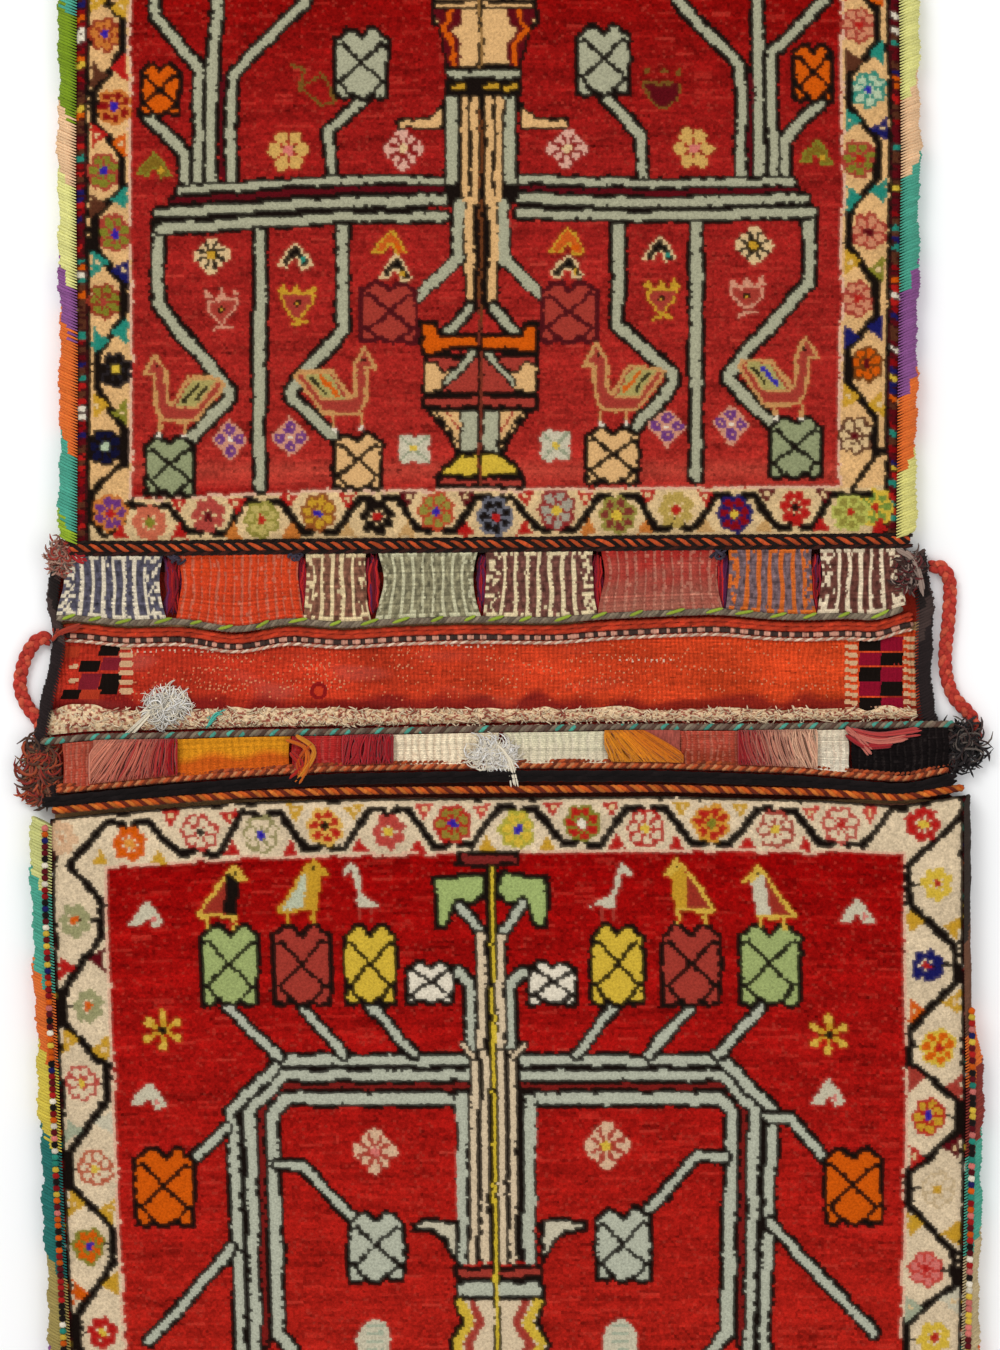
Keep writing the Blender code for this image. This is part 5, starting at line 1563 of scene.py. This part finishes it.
def bindings():
    """The bindings of the four sides of the bags and the two sides of the bridge."""
    def of_bag(side, pairs, out, near, far, shades, **more):
        nodes = [name for name in sorted(frame["nodes"]) if name.startswith(side + "_binding")]
        binding("binding_" + side, nodes, line_of(pairs), out, near, far, shades, **more)

    end = LOWER_END_V
    pale_yellow, teal, violet = tone(240, 236, 150), tone(84, 176, 150), tone(150, 90, 150)
    orange, lime, peach = tone(240, 120, 50), tone(160, 190, 50), tone(250, 206, 160)
    of_bag("upper_left", UPPER_LEFT, -1, UPPER_TOP_V, 540,
            [(-300, orange), (-210, violet), (-120, pale_yellow), (-40, peach), (14, teal),
             (120, tone(130, 160, 34)),
             (186, peach), (284, pale_yellow), (336, violet), (452, orange), (530, teal), (560, lime)])
    of_bag("upper_right", UPPER_RIGHT, 1, UPPER_TOP_V, 536,
            [(-300, teal), (-200, orange), (-110, violet), (-40, lime), (96, pale_yellow), (176, peach),
             (288, teal),
             (390, violet), (470, orange), (560, tone(240, 232, 140))], width=19, seed=4)
    of_bag("lower_left", LOWER_LEFT, -1, 822, end,
            [(890, tone(220, 220, 140)), (985, teal), (1065, orange), (1150, tone(230, 206, 80)),
             (1275, tone(40, 120, 112)),
             (1370, tone(176, 156, 90)), (1460, violet), (1560, peach),
             (9999, teal)], width=21, seed=5, beaded=True)
    of_bag("lower_right", LOWER_RIGHT, 1, 800, end,
            [(940, tone(60, 50, 44)), (1030, tone(120, 80, 60)), (1080, orange), (1150, tone(150, 60, 50)),
             (1250, teal),
             (1370, tone(206, 184, 140)), (1450, orange), (1560, violet),
             (9999, pale_yellow)], width=tucked, seed=6,
            beaded=True)
    dark = [(576, tone(84, 64, 60)), (610, tone(40, 32, 30)), (640, tone(74, 58, 54)),
            (9999, tone(44, 34, 34))]
    for label, edge, out in (("left", BRIDGE_LEFT, -1), ("right", BRIDGE_RIGHT, 1)):
        node = "bridge_" + label + "_binding"
        binding("bridge_edge_" + label, [node], line_of(edge, -2 * out), out, *ends_of(node), dark,
                width=11 if out < 0 else 16, seed=7, height=0.0105)


def bottom_seams():
    """The far ends of both bags: a plain overcast roll."""
    t = shares(7)
    for label, v_end, way, left, right in (("upper", UPPER_TOP_V, 1, UPPER_LEFT, UPPER_RIGHT),
                                           ("lower", LOWER_END_V, -1, LOWER_LEFT, LOWER_RIGHT)):
        cloth = Cloth()
        local = np.random.default_rng(60 + way)
        start, stop = float(along(left, v_end)), float(along(right, v_end))
        for u0 in np.arange(start - 8, stop + 8, 4.6):
            u = u0 + 5.0 * arch(t)
            x, y = world(u, np.full_like(t, v_end))
            y = y + way * (0.0065 * arch(t) ** 0.8 - 0.0008)
            z = (FACE_TOP + 0.0005) / 2 + (FACE_TOP - 0.0030) / 2 * np.cos(math.pi * t)
            colour = tone(150, 40, 30) * local.uniform(0.8, 1.1)
            cloth.tube(np.stack([x, y, z], axis=-1), 0.0017, colour, 5, up=(1.0, 0.0, 0.0))
        cloth.piece("bottom_roll_" + label, YARN, [label + "_bottom_seam"])


LEFT_BRAID = [(-0.3058, 0.024), (-0.3142, 0.0238), (-0.3225, 0.012), (-0.3265, -0.006), (-0.3220, -0.020),
              (-0.3130, -0.032), (-0.31275, -0.0429)]
RIGHT_BRAID = [(0.2818, 0.072), (0.2902, 0.0718), (0.2955, 0.062), (0.2950, 0.040), (0.2925, 0.008),
               (0.2975, -0.013), (0.3100, -0.028), (0.31275, -0.0429)]
BRAID_RADIUS = 0.004


def smooth_route(points, fine=16):
    """A Catmull-Rom curve through the points."""
    ends = np.array([points[0]] + list(points) + [points[-1]], float)
    out = []
    for a, b, c, d in zip(ends[:-3], ends[1:-2], ends[2:-1], ends[3:]):
        for t in np.arange(fine) / fine:
            curve = (2 * a - 5 * b + 4 * c - d) * t**2
            twist = (3 * b - a - 3 * c + d) * t**3
            out.append(0.5 * (2 * b + (c - a) * t + curve + twist))
    out.append(ends[-1])
    return np.array(out)


def braids():
    """The two braided red cords, each of three strands that pass over and under."""
    for label, points in (("left", LEFT_BRAID), ("right", RIGHT_BRAID)):
        flat = smooth_route(points)
        path = np.column_stack([flat, np.full(len(flat), BRAID_RADIUS + 0.0003)])
        far = distances(path)
        even = np.linspace(0, far[-1], int(far[-1] / 0.0008))
        path = np.stack([np.interp(even, far, path[:, k]) for k in range(3)], axis=-1)
        side, _ = bearings(path)
        cloth = Cloth()
        for k in range(3):
            turn = 2 * math.pi * (even / 0.019 + k / 3)
            sway = side * (0.0027 * np.sin(turn))[:, None]
            lift = np.zeros_like(path)
            lift[:, 2] = 0.0012 * np.sin(2 * turn)
            shade = tone(196, 62, 50) if k != 1 else tone(214, 90, 66)
            colour = np.tile(shade, (len(path), 1)) * rng.normal(1, 0.16, (len(path), 1))
            cloth.tube(path + sway + lift, 0.0022, colour, 7)
        piece = cloth.piece("braid_" + label, YARN, [label + "_braided_cord"])


def tuft(name, u0, v0, wide, high, level, rise, count, shades, seed, replaces=(), lean=None, radius=0.0004,
         strands=(),
         body=0.0):
    """A lump of loose fibres in an oval, lying mostly along lean, with longer strands that stray from it.

    body is the share of the oval that is matted wool, under the fibres, coloured in a painted shade of their
    shades.
    """
    local = np.random.default_rng(seed)
    cloth = Cloth()
    if body > 0.0:
        turn, out = crossed(np.linspace(0, 2 * math.pi, 33), np.linspace(1, 0.04, 9))
        reach = body * (1 + 0.16 * np.sin(3 * turn + seed) + 0.1 * np.sin(7 * turn)) * out
        x, y = world(u0 + reach * np.cos(turn) * wide / 2, v0 + reach * np.sin(turn) * high / 2)
        lumps = 0.8 + 0.35 * ripple(x, y, 0.008, seed)
        z = level - 0.0005 + rise * 0.75 * np.sqrt(np.clip(1 - out**2, 0, 1)) * lumps
        picks = np.array(shades)[local.integers(len(shades), size=(32, 8))]
        # Painted shade: the matted body under the fibres is 0.75 as bright as they are.
        cloth.grid(np.stack([x, y, z], axis=-1), picks * 0.75, blend=0.5)
    t = shares(7)
    for _ in range(count):
        angle = local.uniform(0, 2 * math.pi)
        out = math.sqrt(local.random()) * 0.8
        start_u = u0 + out * math.cos(angle) * wide / 2
        start_v = v0 + out * math.sin(angle) * high / 2
        heading = local.uniform(0, 2 * math.pi) if lean is None else lean + local.normal(0, 0.5)
        bend = local.normal(0, 1.6)
        long = local.uniform(0.2, 0.5) * min(wide, high)
        u = start_u + long * t * np.cos(heading + bend * t)
        v = start_v + long * t * np.sin(heading + bend * t)
        dome = max(0.0, 1 - out**2)
        z = level + rise * dome * local.uniform(0.55, 1.0) + 0.0010 * arch(t)
        shade = shades[int(local.integers(len(shades)))] * local.uniform(0.8, 1.12)
        cloth.tube(raised(u, v, z), radius * local.uniform(0.7, 1.3), shade, 3)
    for points, shade in strands:
        x, y = world(*smooth_route(points, 6).T)
        for _ in range(7):
            shift = local.normal(0, 0.0011, 2) * np.linspace(0.5, 1.5, len(x))[:, None]
            z = np.full_like(x, level + rise * 0.4 + local.uniform(0, 0.002))
            cloth.tube(np.stack([x + shift[:, 0], y + shift[:, 1], z], axis=-1), radius * 1.2,
                       shade * local.uniform(0.8, 1.1), 4)
    cloth.piece(name, LINT, replaces)


def loose_yarn():
    """Tufts, tangles and single strands of loose yarn."""
    white = [WHITE * 1.15, tone(250, 246, 240) * 1.1, tone(230, 222, 208)]
    tuft("cotton_tuft_bridge", 166, 706, 44, 34, BACK_TOP + 0.001, 0.006, 380, white, 81, radius=0.0005,
         body=0.8,
         strands=[([(150, 712), (138, 724), (124, 738)], white[0])])
    tuft("wool_tuft_cream", 492, 754, 56, 34, FACE_TOP - 0.0050, 0.002, 260, white + [tone(236, 226, 210)],
         82, lean=0.7,
         radius=0.0005, body=0.5, strands=[([(496, 744), (508, 760), (514, 786)], white[0])])
    tuft("cotton_speck", 758, 758, 12, 10, FACE_TOP - 0.0050, 0.001, 24, white, 89, radius=0.0005)
    grey = [tone(30, 24, 24), tone(56, 48, 48), tone(110, 98, 90), tone(20, 16, 16), tone(70, 50, 46)]
    tuft("dark_tuft_right", 960, 746, 46, 46, 0.004, 0.008, 300, grey, 83, ["right_loose_hank"],
         radius=0.0009, body=0.85,
         strands=[([(972, 742), (962, 756), (952, 770)], tone(150, 36, 28))])
    reds = [tone(150, 66, 48), tone(104, 60, 44), tone(160, 50, 40), tone(128, 96, 70), tone(84, 58, 46),
            tone(184, 84, 52)]
    tuft("red_tangle_left", 38, 770, 38, 70, 0.004, 0.008, 330, reds, 84, ["left_loose_hank"], lean=1.3,
         radius=0.0010,
         body=0.9, strands=[([(46, 742), (42, 775), (50, 806)], tone(140, 90, 70))])
    browns = [tone(70, 46, 40), tone(112, 92, 84), tone(170, 146, 132), tone(40, 30, 28), tone(104, 40, 40)]
    tuft("brown_tangle_right", 908, 568, 30, 46, FACE_BASE + 0.001, 0.004, 150, browns, 85, lean=1.0,
         radius=0.0008,
         body=0.8, strands=[([(896, 548), (914, 560), (922, 590)], browns[2])])
    rosy = [tone(170, 116, 100), tone(140, 86, 70), tone(176, 64, 50), tone(190, 150, 130),
            tone(116, 104, 92)]
    tuft("rosy_tangle_left", 60, 556, 26, 42, FACE_BASE + 0.001, 0.004, 150, rosy, 86, lean=1.4,
         radius=0.0008,
         body=0.8, strands=[([(68, 548), (76, 558), (84, 560)], tone(186, 40, 44))])
    tuft("teal_thread", 213, 719, 14, 8, BACK_TOP + 0.003, 0.001, 6, [tone(80, 190, 170)], 87,
         strands=[([(207, 727), (214, 716), (220, 713)], tone(90, 200, 180))])
    tuft("red_tail_left", 58, 632, 12, 7, 0.0095, 0.001, 20, [tone(176, 64, 48), tone(140, 60, 44)], 88,
         lean=2.8,
         radius=0.0007, strands=[([(52, 640), (60, 632), (80, 625)], tone(180, 64, 44))])
    flame = [tone(226, 110, 26), tone(206, 84, 22), tone(226, 140, 40), tone(190, 40, 30)]
    tuft("orange_loops", 301, 764, 26, 40, FACE_TOP - 0.0050, 0.002, 0, flame, 90, radius=0.0007, strands=[
        ([(286, 740), (304, 748), (306, 764), (296, 782)], flame[0]),
        ([(312, 744), (300, 760), (304, 774)], flame[1]),
        ([(296, 736), (314, 752), (298, 778)], flame[2]), ([(290, 752), (300, 766), (290, 776)], flame[3])])
    blush = [tone(196, 70, 66), tone(176, 40, 46), tone(214, 120, 104)]
    tuft("pink_strands", 874, 738, 60, 18, FACE_TOP - 0.0054, 0.0015, 0, blush, 91, radius=0.0007, strands=[
        ([(846, 728), (858, 740), (870, 754)], blush[2]), ([(850, 729), (880, 735), (918, 730)], blush[0]),
        ([(848, 732), (876, 741), (904, 737)], blush[2]), ([(846, 735), (864, 745), (890, 743)], blush[1])])


def frayed_strip():
    """The speckled, frayed band on the bridge."""
    cloth = Cloth()
    u_line = np.linspace(44, 918, 400)
    t_grid, u = crossed(shares(13), u_line)
    bumps = 3.2 * np.abs(ripple(u, 0 * u, 66, 61)) + 1.3 * ripple(u, 0 * u, 24, 62)
    top = np.clip(711 - bumps, 704, 713)
    bottom = along(LOWER_CORD, u) - 6
    v = top + (bottom - top) * t_grid
    x, y = world(u, v)
    shape = (t_grid.shape[0] - 1, t_grid.shape[1] - 1)
    pick = rng.random(shape)[..., None]
    colours = np.where(pick < 0.6, tone(255, 224, 180),
                       np.where(pick < 0.8, tone(170, 72, 60), tone(206, 164, 122)))
    colours = colours * rng.normal(1.0, 0.1, shape)[..., None]
    z = BACK_TOP + 0.0016 + 0.0012 * arch(t_grid) + rng.uniform(0, 0.0006, u.shape)
    cloth.slab(x, y, z, BACK_TOP + 0.0002, colours, blend=0.3)
    strip = cloth.piece("frayed_strip", FLATWEAVE, ["bridge_frayed_strip"])
    fibres = Cloth()
    local = np.random.default_rng(9)
    step = shares(4)
    for _ in range(900):
        u0 = local.uniform(48, 914)
        v0 = local.uniform(710, 729)
        uu = u0 + local.normal(0, 5) * step
        vv = v0 - local.uniform(1, 6) * step
        z = BACK_TOP + 0.0026 + 0.0012 * arch(step)
        shade = tone(255, 228, 190) if local.random() < 0.72 else tone(176, 84, 66)
        fibres.tube(raised(uu, vv, z), 0.0006, shade * local.uniform(0.75, 1.1), 3)
    lint = fibres.piece("frayed_fibres", LINT)


def slit_yarns():
    """Red and purple yarn seen down the slits between the upper tabs."""
    cloth = Cloth()
    local = np.random.default_rng(44)
    shades = [tone(150, 30, 50), tone(196, 40, 40), tone(100, 40, 80), tone(130, 24, 36)]
    t = shares(8)
    for u0, width in ((171, 16), (303, 10), (373, 10), (482, 9), (598, 8), (724, 10), (817, 10)):
        for _ in range(18):
            u = u0 + local.normal(0, width * 0.28) + local.normal(0, 3.0) * arch(t)
            u = u + local.normal(0, 0.9, len(t))
            v = 556 + local.normal(0, 2) + 56 * t
            z = FACE_BASE - 0.0015 + local.uniform(-0.001, 0.002) - 0.002 * t
            shade = shades[int(local.integers(4))] * local.uniform(0.7, 1.2)
            cloth.tube(raised(u, v, z), 0.0011, shade, 4)
    for u0, v0 in ((176, 558), (296, 556), (720, 552)):
        for _ in range(5):
            u = u0 + local.normal(0, 4) + 4 * np.cos(5 * t + local.uniform(0, 6))
            v = v0 + local.normal(0, 3) + 3 * np.sin(5 * t + local.uniform(0, 6))
            z = FACE_TOP - 0.0045 + local.uniform(0, 0.001)
            cloth.tube(raised(u, v, z), 0.0009, tone(70, 62, 76) * local.uniform(0.6, 1.2), 4)
    cloth.piece("slit_yarn", YARN)


# Stage


def camera():
    """Straight above the middle of the bag, through a long lens, so that the frame is 1000 by 1350 units."""
    distance = 3.0
    data = bpy.data.cameras.new("camera")
    data.sensor_fit = "VERTICAL"
    data.sensor_height = 24.0
    frame_height = 1350 * UNIT
    data.lens = data.sensor_height * distance / frame_height
    made = put("camera", data)
    x, y = world(500, 675)
    made.location = (x, y, distance + FACE_TOP - 0.004)
    bpy.context.scene.camera = made


def stage():
    """A plain pale floor under soft studio light."""
    size = 6.0
    mesh = bpy.data.meshes.new("floor")
    mesh.from_pydata([(u, v, 0) for u, v in block(-size, -size, size, size)], [], [(0, 1, 2, 3)])
    paint = bpy.data.materials.new("floor_paint")
    paint.use_nodes = True
    settle(paint.node_tree.nodes["Principled BSDF"], {"Base Color": (0.95, 0.95, 0.95, 1), "Roughness": 0.9})
    mesh.materials.append(paint)
    put("floor", mesh)
    world_light = bpy.data.worlds.new("studio")
    world_light.use_nodes = True
    settle(world_light.node_tree.nodes["Background"], {"Color": (1, 1, 1, 1), "Strength": 0.75})
    bpy.context.scene.world = world_light
    for name, place, power, size in (("key", (-1.2, 1.6, 2.2), 34.0, 1.4),
                                     ("fill", (1.6, -0.8, 2.4), 12.0, 2.0)):
        lamp = bpy.data.lights.new(name, "AREA")
        lamp.energy = power
        lamp.size = size
        made = put(name, lamp)
        made.location = place
        lean = math.acos(place[2] / np.linalg.norm(place))
        made.rotation_euler = (lean, 0.0, math.atan2(place[1], place[0]) + math.pi / 2)
    bpy.context.scene.view_settings.view_transform = "Standard"


camera()
braids()
kilim()
pile_face(UPPER_LEFT, UPPER_RIGHT, UPPER_TOP_V, 539.0, paint_upper, 101)
pile_face(LOWER_LEFT, LOWER_RIGHT, 800.0, LOWER_END_V, paint_lower, 202)
mouth_rows()
slit_yarns()
upper_tabs()
lower_tabs()
yarn_wraps()
frayed_strip()
bindings()
bottom_seams()
loose_yarn()
stage()
